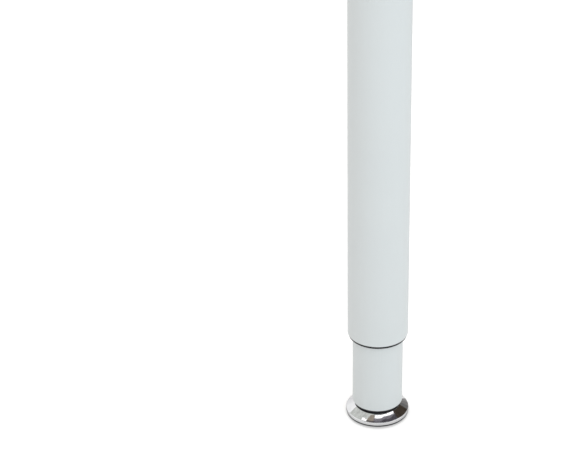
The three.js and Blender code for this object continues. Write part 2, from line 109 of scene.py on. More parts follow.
class Wire:
    """The output of a node. Arithmetic on it adds Math nodes."""

    def __init__(self, desk, output):
        self.desk = desk
        self.output = output

    __add__, __radd__ = as_node("ADD"), as_node("ADD", reflected=True)
    __sub__, __rsub__ = as_node("SUBTRACT"), as_node("SUBTRACT", reflected=True)
    __mul__, __rmul__ = as_node("MULTIPLY"), as_node("MULTIPLY", reflected=True)
    __truediv__, __rtruediv__ = as_node("DIVIDE"), as_node("DIVIDE", reflected=True)
    __pow__ = as_node("POWER")
    __lt__, __gt__ = as_node("LESS_THAN"), as_node("GREATER_THAN")


# %% The node desk
class Desk:
    """A node tree under construction."""

    def __init__(self, tree):
        self.tree = tree

    def feed(self, socket, value):
        if isinstance(value, Wire):
            self.tree.links.new(value.output, socket)
        else:
            socket.default_value = value

    def node(self, kind, settings=None, sockets=None, output=0):
        made = self.tree.nodes.new(kind)
        for key, value in (settings or {}).items():
            setattr(made, key, value)
        for key, value in (sockets or {}).items():
            self.feed(made.inputs[key], value)
        return Wire(self, made.outputs[output])

    def maths(self, operation, *values):
        return self.node("ShaderNodeMath", {"operation": operation}, dict(enumerate(values)))

    def parts(self, vector):
        """The X, Y and Z of a vector as three wires."""
        split = self.node("ShaderNodeSeparateXYZ", sockets={"Vector": vector})
        return [Wire(self, output) for output in split.output.node.outputs]

    def ramp(self, value, low, high):
        """0 below low, 1 above high and a soft step between."""
        settings = {"interpolation_type": "SMOOTHSTEP"}
        sockets = {"Value": value, "From Min": low, "From Max": high}
        return self.node("ShaderNodeMapRange", settings, sockets)


# %% [markdown]
# ## Round pieces
# Nearly every piece is turned or moulded round the leg's axis. The usual ways are Blender's Spin
# tool or a Screw modifier. Here a profile of (radius, height) points is spun in code, because the
# profile can then be written as a maker's drawing: its corners, each with the radius of its
# rounding.


# %% Profiles
def polar(radius, turn):
    return radius * math.cos(turn), radius * math.sin(turn)


def arc(centre, radius, start, end, steps=8):
    """Points on an arc, with its angles in radians."""
    offsets = [polar(radius, start + (end - start) * i / steps) for i in range(steps + 1)]
    return [(centre[0] + x, centre[1] + y) for x, y in offsets]


def rounded(corners, steps=5):
    """The closed outline through (radius, height, rounding) corners."""
    points = []
    for i, (radius, height, rounding) in enumerate(corners):
        here = Vector((radius, height))
        before = Vector(corners[i - 1][:2]) - here
        after = Vector(corners[(i + 1) % len(corners)][:2]) - here
        if not rounding:
            points.append(tuple(here))
            continue
        half = before.angle(after) / 2
        before.normalize()
        after.normalize()
        centre = here + (before + after).normalized() * rounding / math.sin(half)
        reach = rounding / math.tan(half)
        first = here + before * reach - centre
        last = here + after * reach - centre
        start = math.atan2(first.y, first.x)
        turn = math.remainder(math.atan2(last.y, last.x) - start, math.tau)
        points += arc(centre, rounding, start, start + turn, steps)
    return points


# %% [markdown]
# A spun profile is closed at both its ends by the axis or by itself, so each piece is one
# watertight skin. Its normals are set after the points on the axis are merged. Edges are rounded
# in the profile, and shading is smooth except across angles that a tool or a mould would leave
# sharp.

# %% Meshes
import bmesh

sharp_angle = math.radians(38)
merge_distance = 0.002 * mm
weld_distance = 0.0005 * mm
fine_sides = 160
plain_sides = 96
bar_sides = 48
hole_sides = 24


def add_object(name, data):
    """Puts a new object into the scene, at the origin."""
    made = bpy.data.objects.new(name, data)
    bpy.context.scene.collection.objects.link(made)
    return made


def new_piece(name):
    return add_object(name, bpy.data.meshes.new(name))


def shade(piece):
    piece.data.shade_smooth()
    piece.data.set_sharp_from_angle(angle=sharp_angle)
    return piece


def finish_mesh(name, work):
    """Closes and cleans a bmesh and makes it a piece."""
    bmesh.ops.remove_doubles(work, verts=work.verts, dist=merge_distance)
    axis_line = [edge for edge in work.edges if edge.is_wire]
    bmesh.ops.delete(work, geom=axis_line, context="EDGES")
    bmesh.ops.recalc_face_normals(work, faces=work.faces)
    piece = new_piece(name)
    work.to_mesh(piece.data)
    work.free()
    return shade(piece)


# %% Spun pieces
def spin(name, profile, sides=plain_sides):
    """Spins a closed profile of (radius, height) points about the Z axis."""
    work = bmesh.new()
    turns = [math.tau * i / sides for i in range(sides)]
    rings = [
        [work.verts.new((*polar(radius, turn), height)) for turn in turns]
        for radius, height in profile
    ]
    for lower, upper in zip(rings, rings[1:] + rings[:1]):
        for i in range(sides):
            following = (i + 1) % sides
            work.faces.new([lower[i], lower[following], upper[following], upper[i]])
    bmesh.ops.dissolve_degenerate(work, edges=work.edges, dist=merge_distance)
    return finish_mesh(name, work)


def turned(name, corners, sides=fine_sides):
    """A round piece from its drawing, a list of (radius, height, rounding) corners."""
    return spin(name, rounded(corners), sides)


def ring(name, inner, outer, bottom, top, edge=no_size, bore_edge=no_size, sides=plain_sides):
    """A ring, or a disc where inner is zero, with rounded edges."""
    return turned(name, [
        (inner, bottom, bore_edge),
        (outer, bottom, edge),
        (outer, top, edge),
        (inner, top, bore_edge),
    ], sides)


# %% [markdown]
# Holes, pockets and slots are cut with tool bodies, which are plain bars and prisms. Bars and pins
# that lie across the axis are built upright and turned into place, and the turn is applied to
# their points, so that every object stays at the origin.


# %% Bars and prisms
def lay_down(piece, height=clamp_level, start=no_size):
    """Lays an upright piece along +Y by moving its points, level with the clamp if not told."""
    lying = Matrix.Rotation(-math.pi / 2, 4, "X")
    piece.data.transform(Matrix.Translation((0, start, height)) @ lying)
    return piece


def cross_bar(name, radius, near, far, height=clamp_level, sides=bar_sides, edge=no_size):
    """A round bar along +Y between two distances from the axis."""
    return lay_down(ring(name, no_size, radius, near, far, edge=edge, sides=sides), height)


def upright(name, outline, bottom, top):
    """A closed outline of (x, y) corners, drawn up from bottom to top."""
    work = bmesh.new()
    low, high = ([work.verts.new((x, y, z)) for x, y in outline] for z in (bottom, top))
    work.faces.new(low)
    work.faces.new(high)
    for i in range(len(outline)):
        work.faces.new([low[i - 1], low[i], high[i], high[i - 1]])
    return finish_mesh(name, work)


def hexagon(name, corner_radius, bottom, top):
    """An upright hexagonal prism with a corner at the rear."""
    outline = [polar(corner_radius, math.pi / 2 + math.tau * i / 6) for i in range(6)]
    return upright(name, outline, bottom, top)


def bar_out(name, near, far, width, bottom, top):
    """A square bar that stands out from the axis along +X."""
    half = width / 2
    return upright(name, [(near, -half), (far, -half), (far, half), (near, half)], bottom, top)


# %% [markdown]
# The cut itself is a boolean, as a machinist would take metal away from the blank. A boolean can
# leave points that nearly coincide, which an exporter sees as a crack, so each cut is welded.


# %% Booleans
def settle(piece):
    """Turns what the modifiers make into the piece's plain mesh."""
    graph = bpy.context.evaluated_depsgraph_get()
    made = bpy.data.meshes.new_from_object(piece.evaluated_get(graph))
    piece.modifiers.clear()
    old = piece.data
    piece.data = made
    made.name = piece.name
    bpy.data.meshes.remove(old)
    return piece


def weld(piece):
    """Joins the points that coincide after a cut, so that no hairline crack stays open."""
    work = bmesh.new()
    work.from_mesh(piece.data)
    bmesh.ops.remove_doubles(work, verts=work.verts, dist=weld_distance)
    bmesh.ops.dissolve_degenerate(work, edges=work.edges, dist=weld_distance)
    work.to_mesh(piece.data)
    work.free()


def combine(piece, operation, *tools):
    """Joins, cuts or intersects a piece with tool bodies, which are used up."""
    for tool in tools:
        step = piece.modifiers.new("combine", "BOOLEAN")
        step.operation = operation
        step.solver = "EXACT"
        step.object = tool
    settle(piece)
    weld(piece)
    for tool in tools:
        bpy.data.objects.remove(tool)
    return shade(piece)


def cut(piece, *tools):
    return combine(piece, "DIFFERENCE", *tools)


def join(piece, *tools):
    return combine(piece, "UNION", *tools)


# %% [markdown]
# ## Copies round the axis
# Ribs, hooks, slots and rivets repeat at equal steps round the leg. Copying them in a Python loop
# would work, but a Geometry Nodes tree says it once and keeps the count as a named input. The
# tree puts one point per copy on a line, turns an instance of the piece at each, and realizes
# them, because an exporter drops instances.


# %% Trees and their inputs
def new_tree(name, sizes, counts):
    """A Geometry Nodes group with named inputs: sizes, whole numbers and a material."""
    tree = bpy.data.node_groups.new(name, "GeometryNodeTree")
    inputs = {"Geometry": ["Geometry"], "Float": sizes, "Int": counts, "Material": ["Finish"]}
    for kind, labels in inputs.items():
        for label in labels:
            tree.interface.new_socket(label, in_out="INPUT", socket_type=f"NodeSocket{kind}")
    tree.interface.new_socket("Geometry", in_out="OUTPUT", socket_type="NodeSocketGeometry")
    desk = Desk(tree)
    group_in = tree.nodes.new("NodeGroupInput")
    group_out = tree.nodes.new("NodeGroupOutput")
    given = {output.name: Wire(desk, output) for output in group_in.outputs if output.name}
    return desk, given, group_out


def close_tree(desk, geometry, material, group_out):
    """Ends a tree as every tree here ends: real meshes, with their material set."""
    real = desk.node("GeometryNodeRealizeInstances", sockets={"Geometry": geometry})
    painted = desk.node("GeometryNodeSetMaterial", sockets={"Geometry": real, "Material": material})
    desk.feed(group_out.inputs["Geometry"], painted)


def apply_tree(piece, tree, **values):
    """Runs a tree on a piece with its inputs set by name, and keeps the plain mesh."""
    step = piece.modifiers.new(tree.name, "NODES")
    step.node_group = tree
    for item in tree.interface.items_tree:
        label = item.name.lower().replace(" ", "_")
        if item.in_out == "INPUT" and label in values:
            step[item.identifier] = values[label]
    return settle(piece)


# %% Geometry Nodes: copies round the axis
def make_copies_tree():
    desk, given, group_out = new_tree("copies_round_axis", ("First turn",), ("Count",))
    sockets = {"Count": given["Count"], "Offset": (0, 0, 0)}
    points = desk.node("GeometryNodeMeshLine", sockets=sockets)
    index = desk.node("GeometryNodeInputIndex")
    turn = given["First turn"] + index * math.tau / given["Count"]
    rotation = desk.node("ShaderNodeCombineXYZ", sockets={"Z": turn})
    sockets = {"Points": points, "Instance": given["Geometry"], "Rotation": rotation}
    copies = desk.node("GeometryNodeInstanceOnPoints", sockets=sockets)
    close_tree(desk, copies, given["Finish"], group_out)
    return desk.tree


copies_tree = make_copies_tree()


def around(piece, count, first_turn=0.0, finish=None):
    return apply_tree(piece, copies_tree, count=count, first_turn=first_turn, finish=finish)


print("tree:", copies_tree.name)

# %% [markdown]
# ## Screw threads
# A thread is the best-known shape that follows a rule: its radius is a zigzag that climbs one
# pitch per turn. A spiral tube laid on a rod would only touch it. Here a flat grid is rolled up
# instead: across the grid runs the turn, along it the height, and the rows are sheared by one
# pitch, so that the crests lie exactly along the grid's rows. The ends are turned down by a cone,
# and the first and last rows close on the axis.


# %% Geometry Nodes: threaded rod
thread_share = 0.61  # depth of a metric thread, as a share of its pitch
flank_gain = 1.35  # a zigzag stretched by this and cut off at both ends has flat crests and roots
lead_in = 8  # whole pitches, which keep the zigzag's input above zero
end_row = 1e-5  # only the first and the last row lie closer to an end than this


def make_thread_tree():
    names = ("Radius", "Pitch", "Depth", "Bottom", "Length", "Chamfer")
    desk, given, group_out = new_tree("threaded_rod", names, ("Sides", "Steps"))
    radius, pitch, depth, bottom, length, chamfer = (given[name] for name in names)
    overrun = 2 * pitch
    rows = desk.maths("ROUND", (length + 2 * overrun) / pitch) * given["Steps"]
    sockets = {"Size X": 1.0, "Size Y": 1.0}
    sockets.update({"Vertices X": given["Sides"] + 1, "Vertices Y": rows + 1})
    grid = desk.node("GeometryNodeMeshGrid", sockets=sockets)
    across, along, _ = desk.parts(desk.node("GeometryNodeInputPosition"))
    turn_share, row_share = across + 0.5, along + 0.5
    climb = row_share * rows / given["Steps"] * pitch - overrun
    sockets = {"Value": climb + (turn_share - 0.5) * pitch, "Min": no_size, "Max": length}
    height = desk.node("ShaderNodeClamp", sockets=sockets)
    zigzag = desk.maths("PINGPONG", climb / pitch + lead_in, 0.5) * 2
    stretched = zigzag * flank_gain - (flank_gain - 1) / 2
    flank = desk.node("ShaderNodeClamp", sockets={"Value": stretched})
    threaded = radius - depth * (1 - flank)
    from_end = desk.maths("MINIMUM", height, length - height)
    pointed = desk.maths("MINIMUM", threaded, radius - chamfer + from_end)
    reach = pointed * (row_share > end_row) * (row_share < 1 - end_row)
    angle = turn_share * math.tau
    x, y = reach * desk.maths("COSINE", angle), reach * desk.maths("SINE", angle)
    rolled_up = desk.node("ShaderNodeCombineXYZ", sockets={"X": x, "Y": y, "Z": bottom + height})
    rolled = desk.node("GeometryNodeSetPosition", sockets={"Geometry": grid, "Position": rolled_up})
    sockets = {"Geometry": rolled, "Distance": merge_distance}
    closed = desk.node("GeometryNodeMergeByDistance", sockets=sockets)
    close_tree(desk, closed, given["Finish"], group_out)
    return desk.tree


thread_tree = make_thread_tree()
print("tree:", thread_tree.name)

# %% [markdown]
# One function runs that tree for a screw, a stud or a tap. It then takes out the flat slivers that
# the cone can leave, and makes all faces point outwards.


# %% Threaded rods
def threaded_rod(name, radius, pitch, bottom, length, chamfer, sides=bar_sides, steps=10):
    """A rod with a real thread, which stands on the axis from bottom up."""
    rod = apply_tree(
        new_piece(name), thread_tree, radius=radius, pitch=pitch, depth=thread_share * pitch,
        bottom=bottom, length=length, chamfer=chamfer, sides=sides, steps=steps,
    )
    work = bmesh.new()
    work.from_mesh(rod.data)
    bmesh.ops.dissolve_degenerate(work, edges=work.edges, dist=merge_distance)
    bmesh.ops.recalc_face_normals(work, faces=work.faces)
    work.to_mesh(rod.data)
    work.free()
    return shade(rod)


# %% [markdown]
# A nut or a tapped hole is made as in a workshop: it is drilled to the thread's inner diameter,
# countersunk at both ends and cut by a tap. The tap is a threaded rod, a little wider than the
# screw. It starts a whole number of pitches from where the screw starts, so the two threads are
# in step.

# %% Drill and tap
thread_clearance = 0.08 * mm
drill_play = 0.05 * mm
countersink = 0.45 * mm


def tap_tools(radius, pitch, low, high, screw_start, sides=bar_sides):
    """A drill with a countersink at each end, and a tap that is in step with the screw."""
    drill = radius + thread_clearance - thread_share * pitch - drill_play
    mouth = radius + countersink
    drilled = spin("drill", [
        (no_size, low - mm), (mouth + mm, low - mm), (drill, low + mouth - drill),
        (drill, high + drill - mouth), (mouth + mm, high + mm), (no_size, high + mm),
    ], sides)
    overrun = 1.5 * pitch
    start = screw_start + math.floor((low - overrun - screw_start) / pitch) * pitch
    length = high + overrun - start
    chamfer = 0.7 * pitch
    tap = threaded_rod("tap", radius + thread_clearance, pitch, start, length, chamfer, sides)
    return drilled, tap


print(f"a tap's radius is {thread_clearance / mm:.2f} mm more than its screw's")

# %% [markdown]
# ## Weld bead
# The screw boss is welded to the outer tube. A weld bead follows the seam and has ripples where
# each drop of metal set. The seam is a circle seen along the clamp axis, bent onto the tube. The
# tree bends a curve circle that way, sweeps a small round section along it and lets the section
# swell and shrink along the way.


# %% Geometry Nodes: weld bead on a saddle
seam_points = 288
section_points = 14
wander_scale = 900.0
wander_share = 0.3  # how much of the bead's size it changes
wander_turns = 3  # and how far it shifts the ripples, in radians


def make_bead_tree():
    names = ("Seam radius", "Tube radius", "Height", "Bead", "Ripple")
    desk, given, group_out = new_tree("saddle_weld_bead", names, ("Ripples",))

    def circle(points, radius):
        sockets = {"Resolution": points, "Radius": radius}
        return desk.node("GeometryNodeCurvePrimitiveCircle", sockets=sockets)

    x, z, _ = desk.parts(desk.node("GeometryNodeInputPosition"))
    y = desk.maths("SQRT", given["Tube radius"] ** 2 - x ** 2)
    sockets = {"X": x, "Y": y, "Z": z + given["Height"]}
    on_tube = desk.node("ShaderNodeCombineXYZ", sockets=sockets)
    sockets = {"Geometry": circle(seam_points, given["Seam radius"]), "Position": on_tube}
    bent = desk.node("GeometryNodeSetPosition", sockets=sockets)
    share = desk.node("GeometryNodeSplineParameter")
    wander = desk.node("ShaderNodeTexNoise", sockets={"Scale": wander_scale, "Detail": 1.0})
    wave = desk.maths("SINE", share * given["Ripples"] * math.tau + wander * wander_turns)
    swell = 1 + given["Ripple"] * wave + (wander - 0.5) * wander_share
    sized = desk.node("GeometryNodeSetCurveRadius", sockets={"Curve": bent, "Radius": swell})
    sockets = {"Curve": sized, "Profile Curve": circle(section_points, given["Bead"])}
    swept = desk.node("GeometryNodeCurveToMesh", sockets=sockets)
    close_tree(desk, swept, given["Finish"], group_out)
    return desk.tree


bead_tree = make_bead_tree()
print("tree:", bead_tree.name)

# %% [markdown]
# ## Finishes
# Each finish is a Principled shader whose colour, roughness and bump change over the surface at
# the scale that the real one has. All patterns read Object coordinates, in metres, so a noise
# scale of 1000 gives features of about a millimetre. A constant is set on the shader's own
# socket, and only what varies is wired.


# %% The material desk
class Finish(Desk):
    """A material under construction, on its Principled shader."""

    def __init__(self, name, **constants):
        self.material = bpy.data.materials.new(name)
        self.material.use_nodes = True
        super().__init__(self.material.node_tree)
        self.shader = self.tree.nodes["Principled BSDF"]
        self.drive(**constants)
        self.coordinates = self.node("ShaderNodeTexCoord", output="Object")

    def drive(self, **values):
        """Feeds the shader's sockets, such as base_color, with wires or numbers."""
        for key, value in values.items():
            label = key.replace("_", " ").title().replace("Ior", "IOR")
            self.feed(self.shader.inputs[label], value)

    def show(self, surface):
        """Makes a wired shader the material's surface."""
        self.feed(self.tree.nodes["Material Output"].inputs["Surface"], surface)

    def noise(self, scale, detail=2.0, rough=0.5, vector=None):
        sockets = {"Vector": vector or self.coordinates, "Scale": scale}
        sockets.update({"Detail": detail, "Roughness": rough})
        return self.node("ShaderNodeTexNoise", {"noise_dimensions": "3D"}, sockets)

    def streaks(self, across, along, rough=0.6):
        """Noise with one scale across the Z axis and another along it."""
        sockets = {0: self.coordinates, 1: (across, across, along)}
        drawn_out = self.node("ShaderNodeVectorMath", {"operation": "MULTIPLY"}, sockets)
        return self.noise(1.0, 3.0, rough, drawn_out)

    def cells(self, scale, output="Distance"):
        settings = {"voronoi_dimensions": "3D", "feature": "F1"}
        sockets = {"Vector": self.coordinates, "Scale": scale}
        return self.node("ShaderNodeTexVoronoi", settings, sockets, output)

    def mix(self, factor, first, second):
        """A blend of two colours. The Mix node has a set of sockets for each kind of value,
        all with the same names, so the colour ones go by number."""
        settings = {"data_type": "RGBA", "clamp_factor": True}
        return self.node("ShaderNodeMix", settings, {0: factor, 6: first, 7: second}, output=2)

    def bump(self, *layers):
        """Stacks (height, depth in metres) layers into the shader's normal."""
        normal = None
        for height, depth in layers:
            sockets = {"Height": height, "Distance": depth, "Strength": 1.0}
            if normal:
                sockets["Normal"] = normal
            normal = self.node("ShaderNodeBump", sockets=sockets)
        self.drive(normal=normal)

    def axis_distance(self):
        x, y, _ = self.parts(self.coordinates)
        return self.maths("SQRT", x * x + y * y)


# %% [markdown]
# ### Powder coat
# Powder coat is sprayed dry and baked, which leaves a satin skin with a faint orange peel about a
# millimetre across and a few specks of dust. Inside the tubes the powder only reaches a little
# way in: below that is bare steel. The inner tube also has hair-fine marks along it where the
# plastic guide slides, so its recipe takes a stretch between two heights for them.

# %% Powder coat
coat_colour = (0.67, 0.697, 0.695, 1)
coat_shade = (0.64, 0.669, 0.67, 1)
speck_colour = (0.33, 0.34, 0.34, 1)
bare_colour = (0.36, 0.35, 0.335, 1)
drawn_colour = (0.26, 0.25, 0.24, 1)
cloud_scale, peel_scale, grain_scale, speck_scale = 14.0, 820.0, 3600.0, 260.0
peel_depth, coat_grain_depth, mark_depth = 0.045 * mm, 0.006 * mm, 0.002 * mm
coat_roughness, peel_swing, cloud_swing = 0.52, 0.12, 0.08
speck_size, speck_tint = 0.055, 0.22
mark_fade = 6 * mm
mark_scales, mark_range = (1300.0, 9.0), (0.56, 0.7)
mark_tint, mark_polish = 0.05, 0.12
powder_reach = (12 * mm, 45 * mm)
drawn_scales = (700.0, 6.0)
bare_metallic, bare_roughness = 0.85, 0.06


def powder_coat(name, bare_inside=None, open_end=None, marks=None):
    """bare_inside is the radius below which steel is bare, marks the heights of the marks."""
    finish = Finish(name, ior=1.45, specular_ior_level=0.25)
    cloudy = finish.noise(cloud_scale, 2.0)
    peel = finish.noise(peel_scale, 1.5, 0.45)
    grain = finish.noise(grain_scale, 1.0)
    specks = finish.cells(speck_scale) < speck_size
    colour = finish.mix(cloudy, coat_shade, coat_colour)
    colour = finish.mix(specks * speck_tint, colour, speck_colour)
    roughness = coat_roughness + (peel - 0.5) * peel_swing + (cloudy - 0.5) * cloud_swing
    depths = [(peel, peel_depth), (grain, coat_grain_depth)]
    height = finish.parts(finish.coordinates)[2]
    if marks:
        hairs = finish.streaks(*mark_scales)
        low, high = marks
        begun = finish.ramp(height, low - mark_fade, low)
        zone = begun * (1 - finish.ramp(height, high, high + mark_fade))
        worn = finish.ramp(hairs, *mark_range) * zone
        colour = finish.mix(worn * mark_tint, colour, speck_colour)
        roughness = roughness - worn * mark_polish
        depths.append((hairs * zone, mark_depth))
    if bare_inside:
        past_powder = finish.ramp(open_end - height, *powder_reach)
        inside = (finish.axis_distance() < bare_inside) * past_powder
        steel = finish.mix(finish.streaks(*drawn_scales), bare_colour, drawn_colour)
        colour = finish.mix(inside, colour, steel)
        roughness = roughness + inside * bare_roughness
        finish.drive(metallic=inside * bare_metallic)
    finish.drive(base_color=colour, roughness=roughness)
    finish.bump(*depths)
    return finish.material


lowest_mark = 22 * mm
bush_marks = (inner_bottom + lowest_mark, bush_bottom)
half_wall = tube_wall / 2
coat_outer = powder_coat("powder_coat_outer_tube", outer_radius - half_wall, outer_top)
coat_inner = powder_coat("powder_coat_inner_tube", inner_radius - half_wall, inner_top, bush_marks)
coat_plain = powder_coat("powder_coat_small_parts")
print("powder coats:", coat_outer.name, coat_inner.name, coat_plain.name)

# %% [markdown]
# ### Chrome
# Chrome is a mirror with a very thin life of its own: hair scratches from wiping, which all run
# round the foot as a cloth does, faint dull patches and the slight waviness of pressed sheet. The
# scratches are stretched noise in polar terms: a pattern that reads the distance to the axis and
# the height. At a glancing angle chrome mirrors a little less than other metals, which outlines
# the rim against a white room. A metal's Specular Tint is its strength there.


# %% Chrome plate
chrome_colour = (0.86, 0.865, 0.875, 1)
chrome_dull_colour = (0.8, 0.805, 0.815, 1)
edge_tint = (0.55, 0.55, 0.56, 1)
swirl_across, swirl_out, swirl_up = 60, 5200, 2600
dull_scale, wave_scale = 70.0, 34.0
wave_depth, hair_depth = 0.05 * mm, 0.0006 * mm
scratch_range, dull_range, haze_range = (0.62, 0.74), (0.4, 0.75), (0.5, 0.8)
chrome_roughness, scratch_roughness, haze_roughness = 0.045, 0.07, 0.05


def chrome_plate():
    finish = Finish("chrome_plate", metallic=1.0, specular_tint=edge_tint)
    x, y, z = finish.parts(finish.coordinates)
    rings = finish.axis_distance() * swirl_out + z * swirl_up
    sockets = {"X": x * swirl_across, "Y": y * swirl_across, "Z": rings}
    swirl = finish.node("ShaderNodeCombineXYZ", sockets=sockets)
    hairs = finish.noise(1.0, 2.0, 0.6, swirl)
    dull = finish.noise(dull_scale, 3.0)
    wave = finish.noise(wave_scale, 0.0)
    scratch = finish.ramp(hairs, *scratch_range)
    haze = finish.ramp(dull, *haze_range)
    roughness = chrome_roughness + scratch * scratch_roughness + haze * haze_roughness
    colour = finish.mix(finish.ramp(dull, *dull_range), chrome_colour, chrome_dull_colour)
    finish.drive(base_color=colour, roughness=roughness)
    finish.bump((wave, wave_depth), (hairs, hair_depth))
    return finish.material


chrome = chrome_plate()
print("chrome:", chrome.name)

# %% [markdown]
# ### Plastics, zinc, black steel and rubber
# Moulded plastic copies the spark-eroded grain of its mould and gets paler where it rubs. Zinc
# plate is bright but mottled, with a faint blue and yellow bloom. The lock screw is black-oxide
# steel, and the sole is soft rubber-like plastic.


# %% Moulded plastics
mould_grain_scale, flow_scale = 2600.0, 45.0
rub_scales, rub_range = (500.0, 160.0), (0.6, 0.78)
flow_shade, rub_tint = 0.88, 0.6
mould_grain_swing, rub_roughness, rub_depth = 0.2, 0.1, 0.004 * mm


def moulded_plastic(name, colour, scuffed, rough, grain_depth, sheen=0.5):
    finish = Finish(name, ior=1.49, specular_ior_level=sheen)
    grain = finish.noise(mould_grain_scale, 2.0, 0.6)
    flow = finish.noise(flow_scale, 2.0)
    rubbed = finish.ramp(finish.streaks(*rub_scales, 0.65), *rub_range)
    flowed = finish.mix(flow, (*colour, 1), (*(flow_shade * share for share in colour), 1))
    finish.drive(
        base_color=finish.mix(rubbed * rub_tint, flowed, (*scuffed, 1)),
        roughness=rough + (grain - 0.5) * mould_grain_swing + rubbed * rub_roughness,
    )
    finish.bump((grain, grain_depth), (rubbed, rub_depth))
    return finish.material


black_plastic = moulded_plastic(
    "black_moulded_plastic", (0.017, 0.017, 0.019), (0.05, 0.05, 0.052), 0.42, 0.014 * mm, 0.3
)
slide_plastic = moulded_plastic(
    "natural_slide_plastic", (0.76, 0.745, 0.67), (0.6, 0.59, 0.54), 0.36, 0.006 * mm
)
sole_rubber = moulded_plastic(
    "grey_sole_rubber", (0.075, 0.075, 0.078), (0.16, 0.155, 0.15), 0.78, 0.03 * mm
)
print("plastics:", black_plastic.name, slide_plastic.name, sole_rubber.name)

# %% Zinc plate
dark_zinc, pale_zinc = (0.64, 0.65, 0.66, 1), (0.665, 0.675, 0.68, 1)
bloom_colour = (0.66, 0.65, 0.6, 1)
mottle_scale, bloom_scale, zinc_fine_scale = 420.0, 120.0, 1500.0
bloom_range, bloom_tint = (0.45, 0.7), 0.3
zinc_roughness, zinc_swing, zinc_fine_depth = 0.27, 0.14, 0.01 * mm


def zinc_plate():
    finish = Finish("zinc_plate", metallic=1.0)
    mottle = finish.parts(finish.cells(mottle_scale, "Color"))[0]
    bloom = finish.ramp(finish.noise(bloom_scale, 3.0), *bloom_range)
    fine = finish.noise(zinc_fine_scale, 2.0)
    grey = finish.mix(mottle, dark_zinc, pale_zinc)
    colour = finish.mix(bloom * bloom_tint, grey, bloom_colour)
    finish.drive(base_color=colour, roughness=zinc_roughness + fine * zinc_swing)
    finish.bump((fine, zinc_fine_depth))
    return finish.material


zinc = zinc_plate()
print("plate:", zinc.name)

# %% Black steel
oxide_colour, worn_colour = (0.022, 0.022, 0.025, 1), (0.12, 0.11, 0.1, 1)
wear_scale, oxide_fine_scale = 420.0, 2400.0
wear_range, wear_tint = (0.58, 0.75), 0.5
oxide_metallic, wear_metallic = 0.6, 0.3
oxide_roughness, oxide_swing, oxide_fine_depth = 0.3, 0.2, 0.008 * mm


def black_oxide():
    finish = Finish("black_oxide_steel")
    wear = finish.ramp(finish.noise(wear_scale, 3.0, 0.6), *wear_range)
    fine = finish.noise(oxide_fine_scale, 2.0)
    finish.drive(
        base_color=finish.mix(wear * wear_tint, oxide_colour, worn_colour),
        metallic=oxide_metallic + wear * wear_metallic,
        roughness=oxide_roughness + fine * oxide_swing,
    )
    finish.bump((fine, oxide_fine_depth))
    return finish.material


black_steel = black_oxide()
print("finishes:", len(bpy.data.materials))

# %% [markdown]
# ## Dressing a piece
# A finished piece gets its material, stands for the construction nodes that it replaces and rides
# on a body, so that it moves as that body does.


# %% Dress
def dress(piece, material, slot, body, *nodes):
    """Finishes a piece, which rides on a body and may replace nodes."""
    piece.data.materials.clear()
    piece.data.materials.append(material)
    piece.data.polygons.foreach_set("material_index", [0] * len(piece.data.polygons))
    if nodes:
        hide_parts(*nodes)
    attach(piece, body)
    print(f"{piece.name}: {len(piece.data.polygons)} faces")
    return piece


# %% [markdown]
# ## The outer tube
# A length of round steel tube, sawn square and deburred, so both its ends have a small rounding
# that catches light as a thin line. The hole at the rear takes the spigot of the screw boss.

# %% Outer tube
tube_edge = 0.55 * mm
spigot_radius = 5.5 * mm


def tube(name, bore, radius, bottom, top):
    """A sawn and deburred tube."""
    edges = {"edge": tube_edge, "bore_edge": tube_edge}
    return ring(name, bore, radius, bottom, top, sides=fine_sides, **edges)


outer_tube = tube("outer_leg_tube", outer_bore, outer_radius, outer_bottom, outer_top)
hole_radius = spigot_radius + seat_clearance
hole_end = outer_radius + tube_wall
cut(outer_tube, cross_bar("spigot_hole", hole_radius, no_size, hole_end))
dress(outer_tube, coat_outer, "powder_grey", "outer_leg", "outer_tube")

# %% [markdown]
# ## The inner tube
# The same, one size smaller, with three holes near its upper end for the rivets of the upper
# guide.

# %% Inner tube
rivet_count = 3
rivet_hole = 1.8 * mm
rivet_level = sum(span("guide_rivet_1")) / 2


def rivet_bar(name, radius, near, sides):
    """A round tool at each rivet's place."""
    return around(cross_bar(name, radius, near, outer_radius, rivet_level, sides), rivet_count)


inner_tube = tube("inner_leg_tube", inner_bore, inner_radius, inner_bottom, inner_top)
cut(inner_tube, rivet_bar("rivet_holes", rivet_hole, inner_radius / 2, hole_sides))
dress(inner_tube, coat_inner, "powder_grey", "inner_leg", "inner_tube")

# %% [markdown]
# ## The guide bush
# A black moulding pressed into the outer tube's lower end. Only its collar shows, as a thin dark
# line below the tube. Inside, twelve crush ribs hold it, four slots let its upper end give a
# little, and a round window lets the clamp's pressure pad reach the inner tube.

# %% Guide bush
collar_radius = radius_of("guide_bush")
sleeve_radius = outer_bore - seat_clearance - 0.25 * mm
bush_bore = inner_radius + slide_clearance
bush_edge = 0.8 * mm
collar_edge = 0.25 * mm
crush_ribs, crush_width = 12, 1.5 * mm
slots, slot_width, slot_depth = 4, 2.4 * mm, 34 * mm
slot_bottom = bush_top - slot_depth
window_radius = 6.3 * mm
guide_bush = turned("guide_bush_moulding", [
    (bush_bore, bush_bottom, bush_edge),
    (collar_radius, bush_bottom, collar_edge),
    (collar_radius, outer_bottom, no_size),
    (sleeve_radius, outer_bottom, no_size),
    (sleeve_radius, bush_top, bush_edge),
    (bush_bore, bush_top, bush_edge / 2),
])
crush_rib = bar_out(
    "crush_rib", sleeve_radius - bush_edge, outer_bore - seat_clearance, crush_width,
    outer_bottom + bush_edge, slot_bottom - bush_edge,
)
join(guide_bush, around(crush_rib, crush_ribs, math.pi / crush_ribs))
slot = bar_out("slot", inner_radius / 2, outer_radius, slot_width, slot_bottom, bush_top + mm)
